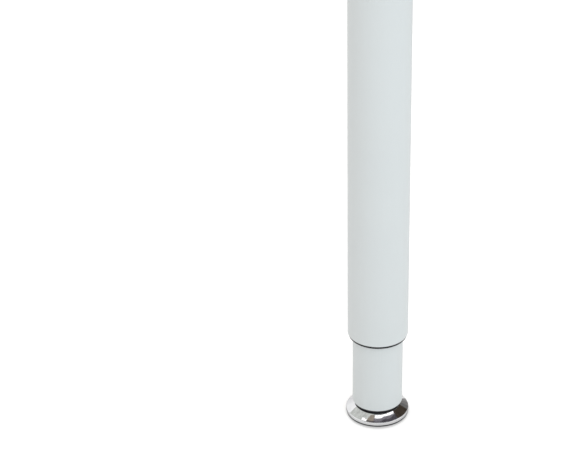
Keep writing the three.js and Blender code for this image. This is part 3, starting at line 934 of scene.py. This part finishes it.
window = cross_bar("window", window_radius, inner_radius / 2, outer_radius)
cut(guide_bush, around(slot, slots, math.pi / slots), window)
dress(guide_bush, black_plastic, "black_plastic", "outer_leg", "guide_bush")

# %% [markdown]
# ## The end plug
# It closes the inner tube. Its neck is the black step between the tube and the foot, and its
# underside has a recess, into which the foot's nut and washer go when the foot is screwed right
# in.

# %% End plug
plug_bottom, plug_top = span("end_plug")
neck_radius = inner_radius - 3 * mm
plug_body = inner_bore - 0.3 * mm
recess_radius = 12.5 * mm
recess_top = plug_top - 2.1 * mm
plug_wall = 2 * mm
plug_edge = 0.5 * mm
plug_ribs, plug_rib_width, plug_crush_width = 8, 1.5 * mm, 1.2 * mm
shoulder = inner_bottom - plug_edge
end_plug = turned("end_plug_moulding", [
    (stud_hole, recess_top, no_size),
    (recess_radius, recess_top, plug_edge),
    (recess_radius, plug_bottom, plug_edge),
    (neck_radius, plug_bottom, plug_edge),
    (neck_radius, shoulder, 0.2 * mm),
    (plug_body, shoulder + plug_edge, no_size),
    (plug_body, plug_top, plug_edge),
    (stud_hole, plug_top, 0.3 * mm),
])
plug_floor = plug_bottom + plug_wall
hollow = ring(
    "plug_hollow", recess_radius + plug_wall, plug_body - plug_wall, plug_floor, plug_top + mm,
    edge=plug_edge,
)
plug_rib = bar_out(
    "plug_rib", no_size, inner_radius, plug_rib_width, plug_floor - mm, plug_top + 2 * mm
)
cut(hollow, around(plug_rib, plug_ribs))
cut(end_plug, hollow)
plug_crush = bar_out(
    "plug_crush", plug_body - mm, plug_body + seat_clearance, plug_crush_width,
    inner_bottom, plug_top - plug_edge,
)
join(end_plug, around(plug_crush, plug_ribs, math.pi / plug_ribs))
dress(end_plug, black_plastic, "black_plastic", "inner_leg", "end_plug")

# %% [markdown]
# ## The foot cap
# The cap is what the eye goes to: one pressed and chromed sheet, with a short upright rim, a
# flare that rises ever more steeply towards the neck, and a flat top. A mirror shows every flaw
# of its curve, so the flare is a smooth quadratic between two slopes and the rim and neck are
# true arcs, spun finely.

# %% Foot cap
cap_radius = radius_of("foot_cap")
cap_bottom, cap_top = span("foot_cap")
cap_wall = 1.2 * mm
cap_neck_radius = 22.9 * mm
cap_neck_round = 0.8 * mm
cap_rim_top = 5.2 * mm
cap_rim_round = 1.0 * mm
cap_lip_round = 0.55 * mm
neck_slope = math.radians(35.5)
rim_slope = math.radians(29.5)


def flare(inset, steps=28):
    """Points of the flare from rim to neck, moved inwards square to its surface."""
    def end(radius, height, rounding, slope):
        out = rounding - inset
        return Vector((radius + out * math.sin(slope), height + out * math.cos(slope)))

    rim_end = end(cap_radius - cap_rim_round, cap_rim_top - cap_rim_round, cap_rim_round, rim_slope)
    neck_end = end(cap_neck_radius, cap_top - cap_neck_round, cap_neck_round, neck_slope)
    chord = neck_end - rim_end
    chord_slope = math.atan2(chord.y, -chord.x)
    reach = chord.length * math.sin(neck_slope - chord_slope) / math.sin(neck_slope - rim_slope)
    control = rim_end + Vector((-math.cos(rim_slope), math.sin(rim_slope))) * reach
    points = []
    for share in (i / steps for i in range(steps + 1)):
        rest = 1 - share
        point = rim_end * rest ** 2 + control * 2 * share * rest + neck_end * share ** 2
        points.append(tuple(point))
    return points


print("points on the flare:", len(flare(no_size)))


# %% The cap's section
def cap_profile():
    right = math.pi / 2
    lip_centre = (cap_radius - cap_lip_round, cap_bottom + cap_lip_round)
    rim_centre = (cap_radius - cap_rim_round, cap_rim_top - cap_rim_round)
    neck_centre = (cap_neck_radius, cap_top - cap_neck_round)
    inner_side = list(reversed(flare(cap_wall)))
    underside = cap_top - cap_wall
    knee = (inner_side[0][0] - (underside - inner_side[0][1]), underside)
    return (
        [(cap_radius - cap_wall, cap_bottom)]
        + arc(lip_centre, cap_lip_round, -right, 0)
        + arc(rim_centre, cap_rim_round, 0, right - rim_slope, 12)
        + flare(no_size)[1:-1]
        + arc(neck_centre, cap_neck_round, right - neck_slope, right, 10)
        + [(stud_hole, cap_top), (stud_hole, underside), knee]
        + inner_side
    )


foot_cap = spin("chromed_foot_cap", cap_profile(), sides=256)
dress(foot_cap, chrome, "chrome", "foot", "foot_cap")

# %% [markdown]
# ## The foot core
# A black moulding fills the cap. Underneath it holds the stud's head, has an undercut groove for
# the snap hooks of the glide disc, and is ribbed between them to save plastic.

# %% Foot core
def hex_corner(across):
    """The corner radius of a hexagon from its width across the flats."""
    return across / 2 / math.cos(math.pi / 6)


head_across = 17 * mm
head_corner = hex_corner(head_across)
stud_bottom, stud_top = span("stud")
head_top = stud_bottom + 3.9 * mm
hook_inner = 20.5 * mm
hook_wall = 1.2 * mm
hook_barb = 0.7 * mm
barb_height = 1.1 * mm
disc_bottom, hook_top = span("glide_disc")
groove_clearance = 0.3 * mm
core_bottom = span("foot_core")[0]
core_radius = radius_of("foot_core")
core_side = [p for p in flare(cap_wall + seat_clearance) if p[0] < core_radius]
core_ceiling = cap_top - cap_wall
top_radius = core_side[-1][0] - (core_ceiling - core_side[-1][1])
foot_core = spin("foot_core_moulding", [
    (stud_hole, core_bottom), (core_radius, core_bottom), (core_radius, core_side[0][1]),
    *core_side, (top_radius, core_ceiling), (stud_hole, core_ceiling),
], fine_sides)
print("points on the core's side:", len(core_side))

# %% Cuts in the foot core
below = core_bottom - mm
ledge = hook_top - barb_height - groove_clearance
groove_inner = hook_inner - groove_clearance
groove_top = hook_top + groove_clearance
mouth = hook_inner + hook_wall + groove_clearance
pocket_wall, pocket_depth = 1.5 * mm, 4.2 * mm
core_ribs, core_rib_width, core_rib_top = 10, 1.4 * mm, core_bottom + 6 * mm
groove = spin("hook_groove", [
    (groove_inner, below), (mouth, below), (mouth, ledge),
    (mouth + hook_barb, ledge), (mouth + hook_barb, groove_top), (groove_inner, groove_top),
])
head_pocket = hexagon("head_pocket", head_corner + groove_clearance / 2, below, head_top)
pockets = ring(
    "core_pockets", head_corner + pocket_wall, groove_inner - pocket_wall, below,
    core_bottom + pocket_depth, edge=0.3 * mm,
)
core_rib = bar_out("core_rib", head_corner, hook_inner, core_rib_width, below - mm, core_rib_top)
cut(pockets, around(core_rib, core_ribs))
cut(foot_core, groove, head_pocket, pockets)
dress(foot_core, black_plastic, "black_plastic", "foot", "foot_core")

# %% [markdown]
# ## The glide disc, its sole and the thrust disc
# These stand still on the floor while the foot turns above them. The hooks are stretches cut from
# one barbed ring, so each follows the groove. The sole has shallow rings underneath for grip, and
# the small zinc-plated disc takes the load of the stud's head.

# %% Glide disc
disc_radius = 29.2 * mm
disc_top = disc_bottom + 2.5 * mm
disc_edge = 0.5 * mm
flange_radius = cap_radius - 0.4 * mm
flange_top = cap_bottom - 0.2 * mm
flange_edge = 0.15 * mm
sole_depth = 0.8 * mm
glide_disc = turned("glide_disc_moulding", [
    (no_size, disc_bottom, no_size),
    (flange_radius, disc_bottom, flange_edge),
    (flange_radius, flange_top, flange_edge),
    (disc_radius, flange_top, no_size),
    (disc_radius, disc_top, disc_edge),
    (no_size, disc_top, no_size),
])
thrust_radius = radius_of("thrust_disc")
thrust_bottom, thrust_top = span("thrust_disc")
sole_radius = radius_of("sole")
sole_top = disc_bottom + sole_depth


def recess(name, radius, bottom, top):
    """A round seat for a disc, cut into the glide disc."""
    cut(glide_disc, ring(name, no_size, radius + seat_clearance, bottom, top))


recess("sole_recess", sole_radius, disc_bottom - mm, sole_top)
recess("thrust_recess", thrust_radius, thrust_bottom, disc_top + mm)
print(f"glide disc: {2 * flange_radius / mm:.1f} mm at its flange")

# %% Snap hooks
hook_outer = hook_inner + hook_wall
hook_ring = turned("hooks", [
    (hook_inner, disc_top - disc_edge, no_size),
    (hook_outer, disc_top - disc_edge, no_size),
    (hook_outer, hook_top - barb_height, 0.15 * mm),
    (hook_outer + hook_barb, hook_top - barb_height, 0.1 * mm),
    (hook_outer + hook_barb, hook_top - 0.7 * barb_height, no_size),
    (hook_outer, hook_top, 0.2 * mm),
    (hook_inner, hook_top, 0.2 * mm),
], plain_sides)
hook_count = 6
hook_angle = math.radians(32)
gap_angle = math.tau / hook_count - hook_angle
wedge_start = hook_inner / 2
wedge_reach = 2 * hook_inner


def wedge(name, angle, bottom, top):
    """An upright wedge from the X axis round to an angle."""
    outline = [(wedge_start, 0), (wedge_reach, 0), (wedge_reach, angle), (wedge_start, angle)]
    return upright(name, [polar(*corner) for corner in outline], bottom, top)


gaps = around(wedge("hook_gaps", gap_angle, disc_bottom, hook_top + mm), hook_count)
cut(hook_ring, gaps)
join(glide_disc, hook_ring)
dress(glide_disc, black_plastic, "black_plastic", "glide", "glide_disc")

# %% Sole
sole_rings = 4
groove_width = 1.6 * mm
sole_groove_depth = 0.3 * mm
sole_edge = 0.25 * mm
groove_shape = ((-1, 0), (-0.7, 1), (0.7, 1), (1, 0))  # shares of half the width, of the depth


def sole_profile():
    """A disc whose underside has evenly spaced ring grooves."""
    points = [(no_size, floor_level)]
    for i in range(sole_rings):
        middle = sole_radius * (i + 1) / (sole_rings + 1)
        for side, level in groove_shape:
            out = middle + side * groove_width / 2
            points.append((out, floor_level + level * sole_groove_depth))
    centre = (sole_radius - sole_edge, floor_level + sole_edge)
    rim = arc(centre, sole_edge, -math.pi / 2, 0, 4)
    return points + rim + [(sole_radius, sole_top), (no_size, sole_top)]


sole = spin("ringed_sole", sole_profile())
dress(sole, sole_rubber, "grey_sole", "glide", "sole")

# %% Thrust disc
thrust_disc = ring(
    "thrust_washer_disc", no_size, thrust_radius, thrust_bottom, thrust_top, edge=0.2 * mm
)
dress(thrust_disc, zinc, "zinc_steel", "glide", "thrust_disc")

# %% [markdown]
# ## Stud, washer and nut
# An M10 stud with a coarse thread of 1.5 mm pitch. Its low hexagon head sits in the core. Nuts
# and heads are turned at their ends, which leaves a curved edge on each flat: the same shape
# comes from taking what a hexagonal prism and a turned blank have in common.

# %% Stud
stud_pitch = 1.5 * mm
stud_point = 1.1 * mm
face_share = 0.96  # the turned face at each end, as a share of the width across the flats
turned_height = 0.9 * mm


def hex_blank(name, across, bottom, top):
    """A hexagonal prism with its corners turned off at both ends."""
    corner = hex_corner(across)
    face = across / 2 * face_share
    blank = spin("turned_blank", [
        (no_size, bottom), (face, bottom), (corner, bottom + turned_height),
        (corner, top - turned_height), (face, top), (no_size, top),
    ])
    return combine(hexagon(name, corner, bottom, top), "INTERSECT", blank)


stud = hex_blank("threaded_stud", head_across, stud_bottom, head_top)
stud_start = head_top - mm
stud_length = stud_top - stud_start
join(stud, threaded_rod("shank", stud_radius, stud_pitch, stud_start, stud_length, stud_point))
dress(stud, zinc, "zinc_steel", "foot", "stud")

# %% Washer and nut
washer = ring(
    "plain_washer", stud_hole, radius_of("foot_washer"), *span("foot_washer"),
    edge=0.3 * mm, bore_edge=0.1 * mm,
)
dress(washer, zinc, "zinc_steel", "foot", "foot_washer")
nut_across = 17 * mm
nut_span = span("foot_nut")
nut = hex_blank("thin_lock_nut", nut_across, *nut_span)
cut(nut, *tap_tools(stud_radius, stud_pitch, *nut_span, stud_start))
dress(nut, zinc, "zinc_steel", "foot", "foot_nut")

# %% [markdown]
# ## Threaded disc and upper guide
# The threaded disc is welded into the inner tube and carries the leg on the stud. The upper guide
# is an uncoloured slide plastic that straddles the tube's upper end. Twelve grooves divide its
# outside into pads, so that dust doesn't jam it, and three rivets hold it.

# %% Threaded disc
disc_span = span("thread_disc")
thread_disc = ring("tapped_disc", no_size, inner_bore - seat_clearance, *disc_span, edge=mm)
cut(thread_disc, *tap_tools(stud_radius, stud_pitch, *disc_span, stud_start))
dress(thread_disc, zinc, "zinc_steel", "inner_leg", "thread_disc")

# %% Upper guide
skirt_bore = inner_radius + seat_clearance
ring_outer = inner_bore - seat_clearance
ring_inner = ring_outer - 2.3 * mm
skirt_bottom, guide_top = span("upper_guide")
ring_bottom = inner_top - 16 * mm
guide_edge = 0.7 * mm
inner_edge = 0.2 * mm
upper_guide = turned("upper_slide_guide", [
    (skirt_bore, skirt_bottom, inner_edge),
    (guided_outer, skirt_bottom, guide_edge),
    (guided_outer, guide_top, guide_edge),
    (ring_inner, guide_top, guide_edge),
    (ring_inner, ring_bottom, inner_edge),
    (ring_outer, ring_bottom, guide_edge),
    (ring_outer, inner_top, no_size),
    (skirt_bore, inner_top, no_size),
])
grooves, guide_groove_width, groove_depth = 12, 4 * mm, 0.8 * mm
guide_groove = bar_out(
    "guide_groove", guided_outer - groove_depth, outer_radius, guide_groove_width,
    skirt_bottom + guide_edge + groove_depth, inner_top - groove_depth,
)
pocket_radius = 3.4 * mm
head_seat = guided_outer - 1.2 * mm
cut(
    upper_guide,
    around(guide_groove, grooves, math.pi / grooves),
    rivet_bar("rivet_pocket", pocket_radius, head_seat, 32),
    rivet_bar("rivet_bores", rivet_hole, inner_radius / 2, hole_sides),
)
dress(upper_guide, slide_plastic, "natural_plastic", "inner_leg", "upper_guide")

# %% [markdown]
# ## Rivets
# One blind rivet is turned as a profile: domed head, shank and the bulb that its pulled stem left
# inside, with the small hole of the stem in the head. Geometry Nodes sets three of them round the
# tube.

# %% Rivets
shank_radius = 1.6 * mm
head_radius = 3.2 * mm
bulb_radius = 2.4 * mm
bulb_end = ring_inner - 0.2 * mm
rivet_tip = bulb_end - 1.6 * mm
stem_hole = 0.8 * mm
head_tip = head_seat + 0.9 * mm
rivets = turned("guide_rivets", [
    (no_size, rivet_tip, no_size),
    (bulb_radius, rivet_tip, 0.7 * mm),
    (bulb_radius, bulb_end, 0.3 * mm),
    (shank_radius, bulb_end, no_size),
    (shank_radius, head_seat, no_size),
    (head_radius, head_seat, 0.1 * mm),
    (head_radius, head_seat + 0.3 * mm, no_size),
    (shank_radius, head_tip, 0.4 * mm),
    (stem_hole, head_tip, 0.1 * mm),
    (stem_hole, head_seat, no_size),
    (no_size, head_seat, no_size),
], sides=36)
shade(around(lay_down(rivets, rivet_level), rivet_count, finish=zinc))
dress(rivets, zinc, "zinc_steel", "inner_leg", "guide_rivet_1", "guide_rivet_2", "guide_rivet_3")

# %% [markdown]
# ## The clamp
# At the rear, a threaded steel boss is welded to the outer tube and coated with it. A black set
# screw with a hexagon socket presses a small plastic pad against the inner tube. The boss is a
# turned blank, cut by a cylinder a little larger than the tube, so that it sits on it like a
# saddle.

# %% Screw boss
boss_radius = 8 * mm
boss_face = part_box("screw_boss")[1].y
boss_edge = 0.8 * mm
weld_gap = 0.3 * mm
lock_radius = 4 * mm
lock_pitch = 1.25 * mm
lock_sides = 40
lock_start, lock_end = (corner.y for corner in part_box("lock_screw"))


def collar(name, inner, outer, half_height):
    """A finely made ring round the leg's axis, level with the clamp."""
    low, high = clamp_level - half_height, clamp_level + half_height
    return ring(name, inner, outer, low, high, sides=fine_sides)


screw_boss = cross_bar(
    "welded_screw_boss", boss_radius, inner_radius, boss_face, sides=96, edge=boss_edge
)
cut(screw_boss, collar("saddle", no_size, outer_radius + weld_gap, 2 * boss_radius))
bore_start = outer_bore + seat_clearance
spigot_end = boss_face - 2 * mm
join(screw_boss, cross_bar("spigot", spigot_radius, bore_start, spigot_end, sides=64))
boss_tools = tap_tools(lock_radius, lock_pitch, bore_start, boss_face, lock_start, lock_sides)
cut(screw_boss, *map(lay_down, boss_tools))
dress(screw_boss, coat_plain, "powder_grey", "outer_leg", "screw_boss")

# %% Weld bead
bead_proud = 0.1 * mm  # how far its middle stands off the seam
bead = apply_tree(
    new_piece("boss_weld_bead"), bead_tree, seam_radius=boss_radius + bead_proud,
    tube_radius=outer_radius + bead_proud, height=clamp_level, bead=1.35 * mm,
    ripple=0.12, ripples=34, finish=coat_plain,
)
bead.data.shade_smooth()
dress(bead, coat_plain, "powder_grey", "outer_leg")

# %% Lock screw
lock_length = lock_end - lock_start
lock_point = 0.9 * mm
lock_screw = threaded_rod(
    "socket_set_screw", lock_radius, lock_pitch, no_size, lock_length, lock_point, lock_sides
)
socket_across = 4 * mm
socket_corner = hex_corner(socket_across)
socket_depth = 4 * mm
mouth_depth = 0.5 * mm
mouth_radius = socket_corner - 0.2 * mm
mouth_low, mouth_high = lock_length - mouth_depth, lock_length + mouth_depth
socket = hexagon("socket", socket_corner, lock_length - socket_depth, lock_length + mm)
socket_mouth = spin("socket_mouth", [
    (no_size, mouth_low), (mouth_radius, mouth_low),
    (mouth_radius + 2 * mouth_depth, mouth_high), (no_size, mouth_high),
], bar_sides)
cut(lock_screw, socket, socket_mouth)
lay_down(lock_screw, start=lock_start)
dress(lock_screw, black_steel, "black_steel", "clamp_screw", "lock_screw")

# %% Pressure pad
pad_radius = 6 * mm
pad_back = bush_bore + 1.55 * mm
pad_disc = cross_bar("pressure_pad_disc", pad_radius, inner_radius / 2, outer_radius, sides=72)
pad_plate = collar("pad_plate", bush_bore, pad_back, 2 * pad_radius)
pressure_pad = combine(pad_disc, "INTERSECT", pad_plate)
dress(pressure_pad, slide_plastic, "natural_plastic", "clamp_pad", "pressure_pad")

# %% [markdown]
# ## Camera
# The photograph was taken from a little above, with a long lens. The angles below turn a level
# camera: yaw to the side, pitch downwards and a small roll. The matrix is built from the three
# directions of the picture, because that keeps the meaning of each angle plain.

# %% Camera
lens_mm = 135.23
camera_place = Vector((-24.624, -1837.838, 1267.578)) * mm
yaw, pitch, roll = (math.radians(a) for a in (-1.8352, 29.8144, -0.9076))
ahead = math.cos(pitch)
forward = Vector((math.sin(yaw) * ahead, math.cos(yaw) * ahead, -math.sin(pitch)))
level = Vector((math.cos(yaw), -math.sin(yaw), 0))
above = level.cross(forward)
right = level * math.cos(roll) + above * math.sin(roll)
up = above * math.cos(roll) - level * math.sin(roll)
turned_camera = Matrix((right, up, -forward)).transposed().to_4x4()
camera = add_object("camera", bpy.data.cameras.new("camera"))
camera.data.sensor_fit = "HORIZONTAL"
camera.data.sensor_width = 36.0
camera.data.lens = lens_mm
camera.data.clip_start = 0.05
camera.matrix_world = Matrix.Translation(camera_place) @ turned_camera
bpy.context.scene.camera = camera
print("camera looks", tuple(round(v, 3) for v in forward))

# %% [markdown]
# ## Floor and background
# The floor is plain white. It has to look white without extra light on the leg, so it adds a glow
# that only the camera, mirrors and glass see, while its own shading still carries the leg's soft
# shadow. Round the foot the glow is left out in a painted shadow that reaches further in front.
# Under the foot's rim the floor's colour is painted dark as shadow and has no glow. Close to the
# rim the chrome sees less of the glow, which paints shade into the floor's reflection.

# %% Floor
floor_half = 4.0
floor_drop = 0.02 * mm
floor_glow = 0.3
world_light = 0.965
# The glow is left out round the foot as a painted shadow, which is shifted to the front.
shade_shift = 5 * mm
shade_edge = (cap_radius - 3.5 * mm, cap_radius)
# Between these radii under the rim, the floor's colour is painted dark as shadow.
painted_shadow_edge = (cap_radius - 1.2 * mm, cap_radius + 0.2 * mm)
# Out to here the chrome sees less of the floor's glow, as painted shade in its reflection.
rim_surround = (cap_radius + 4 * mm, cap_radius + 16 * mm)
floor_colour = (0.8, 0.79, 0.778, 1)
# The colour of the painted shadow under the rim.
painted_shadow_colour = (0.12, 0.12, 0.12, 1)
white = (1, 1, 1, 1)


def ray(desk, kind):
    """1 for one kind of light ray and 0 for the others."""
    return desk.node("ShaderNodeLightPath", output=f"Is {kind} Ray")


def seen_rays(desk):
    """1 for rays of the camera, of mirrors and of glass."""
    seen = ray(desk, "Camera") + ray(desk, "Glossy") + ray(desk, "Transmission")
    return desk.maths("MINIMUM", seen, 1.0)


def floor_finish():
    finish = Finish("white_floor", roughness=0.9, specular_ior_level=0.0)
    from_axis = finish.axis_distance()
    # Painted shadow: the floor's colour turns dark under the foot's rim.
    under_rim_shadow = finish.ramp(from_axis, *painted_shadow_edge)
    finish.drive(base_color=finish.mix(under_rim_shadow, painted_shadow_colour, floor_colour))
    x, y, _ = finish.parts(finish.coordinates)
    from_shade = (x * x + (y + shade_shift) * (y + shade_shift)) ** 0.5
    # The glow is left out inside the painted shadow round the foot.
    clear_of_foot = finish.ramp(from_shade, *shade_edge)
    # Painted shade in reflections: the chrome sees less of the glow near the rim.
    near_rim = 1 - finish.ramp(from_axis, *rim_surround)
    in_chrome = 1 - ray(finish, "Glossy") * near_rim
    strength = seen_rays(finish) * clear_of_foot * in_chrome * floor_glow
    glow = finish.node("ShaderNodeEmission", sockets={"Color": white, "Strength": strength})
    plain = Wire(finish, finish.shader.outputs["BSDF"])
    finish.show(finish.node("ShaderNodeAddShader", sockets={0: plain, 1: glow}))
    return finish.material


floor = new_piece("floor")
floor_corners = [(-1, -1), (1, -1), (1, 1), (-1, 1)]
floor.data.from_pydata(
    [(x * floor_half, y * floor_half, floor_level - floor_drop) for x, y in floor_corners],
    [], [(0, 1, 2, 3)],
)
floor.data.materials.append(floor_finish())
print(f"floor: {2 * floor_half:.0f} m square")

# %% [markdown]
# The world is a white room. It is a shade darker for what it lights than for what sees it.


# %% World
def make_world():
    world = bpy.data.worlds.new("white_room")
    world.use_nodes = True
    desk = Desk(world.node_tree)
    back = world.node_tree.nodes["Background"]
    desk.feed(back.inputs["Color"], white)
    desk.feed(back.inputs["Strength"], world_light + seen_rays(desk) * (1 - world_light))
    bpy.context.scene.world = world
    print("world:", world.name)


make_world()

# %% [markdown]
# ## Light
# The world gives nearly all the light. A large soft panel at the right and in front adds the
# gentle shade towards the left that makes the tubes look round, and a weaker one does the same
# for the rear.


# %% Lamps
def panel(name, place_at, size, watts, colour):
    """A square soft lamp that faces the leg."""
    lamp = bpy.data.lights.new(name, "AREA")
    lamp.shape = "SQUARE"
    lamp.size = size
    lamp.energy = watts
    lamp.color = colour
    holder = add_object(name, lamp)
    direction = middle_of_leg - Vector(place_at)
    holder.rotation_euler = direction.to_track_quat("-Z", "Y").to_euler()
    holder.location = place_at
    holder.visible_glossy = False
    print(f"{name}: {watts} W")


middle_of_leg = Vector((0, 0, 0.2))
panel("key_panel", (1.35, -1.95, 1.0), 1.8, 14.0, (0.75, 0.9, 1.0))
panel("rear_panel", (-0.7, 2.3, 1.4), 1.4, 11.0, (1.0, 0.98, 0.94))

# %% [markdown]
# ## Cards for the chrome
# A mirror has no look of its own: it shows the room. In a white room chrome turns white and loses
# its shape, so a studio hangs cards round it, dark ones for contrast and a bright one for the
# highlight. The cards here are seen by reflections only, so they neither shade the leg nor stand
# in any picture. Each is given by its distance, its colour and its corners as the foot sees them:
# degrees from straight up, to the right and to the back.


# %% Cards
cards = {
    "left_grey": (2.4, (0.6, 0.615, 0.585), [
        (-8, 2), (-7, -18), (-42, -18), (-60, 8), (-58, 34), (-20, 32),
    ]),
    "front_dark": (2.35, (0.05, 0.05, 0.052), [
        (-46, -10), (-30, -17), (-7, -17), (10, -17), (26, -11), (44, -2), (60, -8),
        (52, -28), (-52, -28),
    ]),
    "front_grey": (2.45, (0.3, 0.3, 0.31), [(-54, -26), (54, -26), (48, -66), (-48, -66)]),
    "dark_band": (1.34, (0.075, 0.07, 0.08), [
        (-18, 3), (-19, -2.5), (-10, -6), (14, -6.5), (27, 0), (38, 9), (34, 14),
    ]),
    "grey_band": (1.32, (0.2, 0.19, 0.212), [
        (-9, -6), (-9, -10), (16, -10), (31, 0), (39, 9), (26, 1), (14, -6),
    ]),
    "beige": (1.28, (0.31, 0.27, 0.225), [
        (-19.5, -1.5), (-12, -4.5), (-7, -6), (-5.5, -13), (-10, -14.2), (-16, -11.5),
    ]),
    "brown": (1.34, (0.056, 0.044, 0.034), [
        (35, 11), (40, 5), (56, 7), (66, 36), (62, 47), (24, 47), (22, 19),
    ]),
    "highlight": (1.2, (1.5, 1.5, 1.5), [
        (-5.5, -9.7), (6, -9.7), (15.5, -9.5), (25, -5), (31, 0.5), (37, 6.5), (40, 7),
        (40.5, 1.6), (37, 1.6), (31, -4.6), (25, -8.4), (15, -13.2), (6, -14.7), (-5, -14.7),
    ]),
    "sparkle": (1.15, (1.3, 1.3, 1.3), [
        (-26, 5), (-20, 1), (-18.5, -3), (-21, -1), (-25, 0.5), (-28, 4),
    ]),
}
for lean, grey in ((46, 0.16), (57, 0.24), (68, 0.36), (79, 0.45)):
    corners = [(16, lean), (60, lean), (64, lean + 11), (14, lean + 11)]
    cards[f"right_grey_{lean}"] = (1.34, (grey, 0.98 * grey, 0.96 * grey), corners)
print("cards:", ", ".join(cards))


# %% [markdown]
# Each card is a flat sheet at its distance, and glows a little unevenly, as nothing in a real room
# has one even tone.


# %% Hang the cards
def toward(right_angle, back_angle):
    """The direction that leans from straight up by two angles in degrees."""
    lean = math.radians(math.hypot(right_angle, back_angle))
    side = polar(math.sin(lean), math.atan2(back_angle, right_angle))
    return Vector((*side, math.cos(lean)))


patch_scale = 7.0
patch_range = (0.3, 0.7)
card_tones = (0.8, 1.2)


def hang_card(name, distance, colour, corners):
    """A glowing sheet that only reflections see."""
    sheet = new_piece(name)
    points = [toward(*corner) * distance for corner in corners]
    sheet.data.from_pydata(points, [], [range(len(points))])
    finish = Finish(name)
    patches = finish.ramp(finish.noise(patch_scale, 3.0, 0.6), *patch_range)
    tones = [(*(tone * share for share in colour), 1) for tone in card_tones]
    sockets = {"Color": finish.mix(patches, *tones), "Strength": 1.0}
    finish.show(finish.node("ShaderNodeEmission", sockets=sockets))
    sheet.data.materials.append(finish.material)
    sheet.visible_camera = sheet.visible_diffuse = sheet.visible_shadow = False
    sheet.visible_transmission = sheet.visible_volume_scatter = False


for name, made_of in cards.items():
    hang_card(f"{name}_card", *made_of)
print("cards hung:", len(cards))

# %% [markdown]
# The Standard view shows a colour as it is written.

# %% Finish
bpy.context.scene.view_settings.view_transform = "Standard"
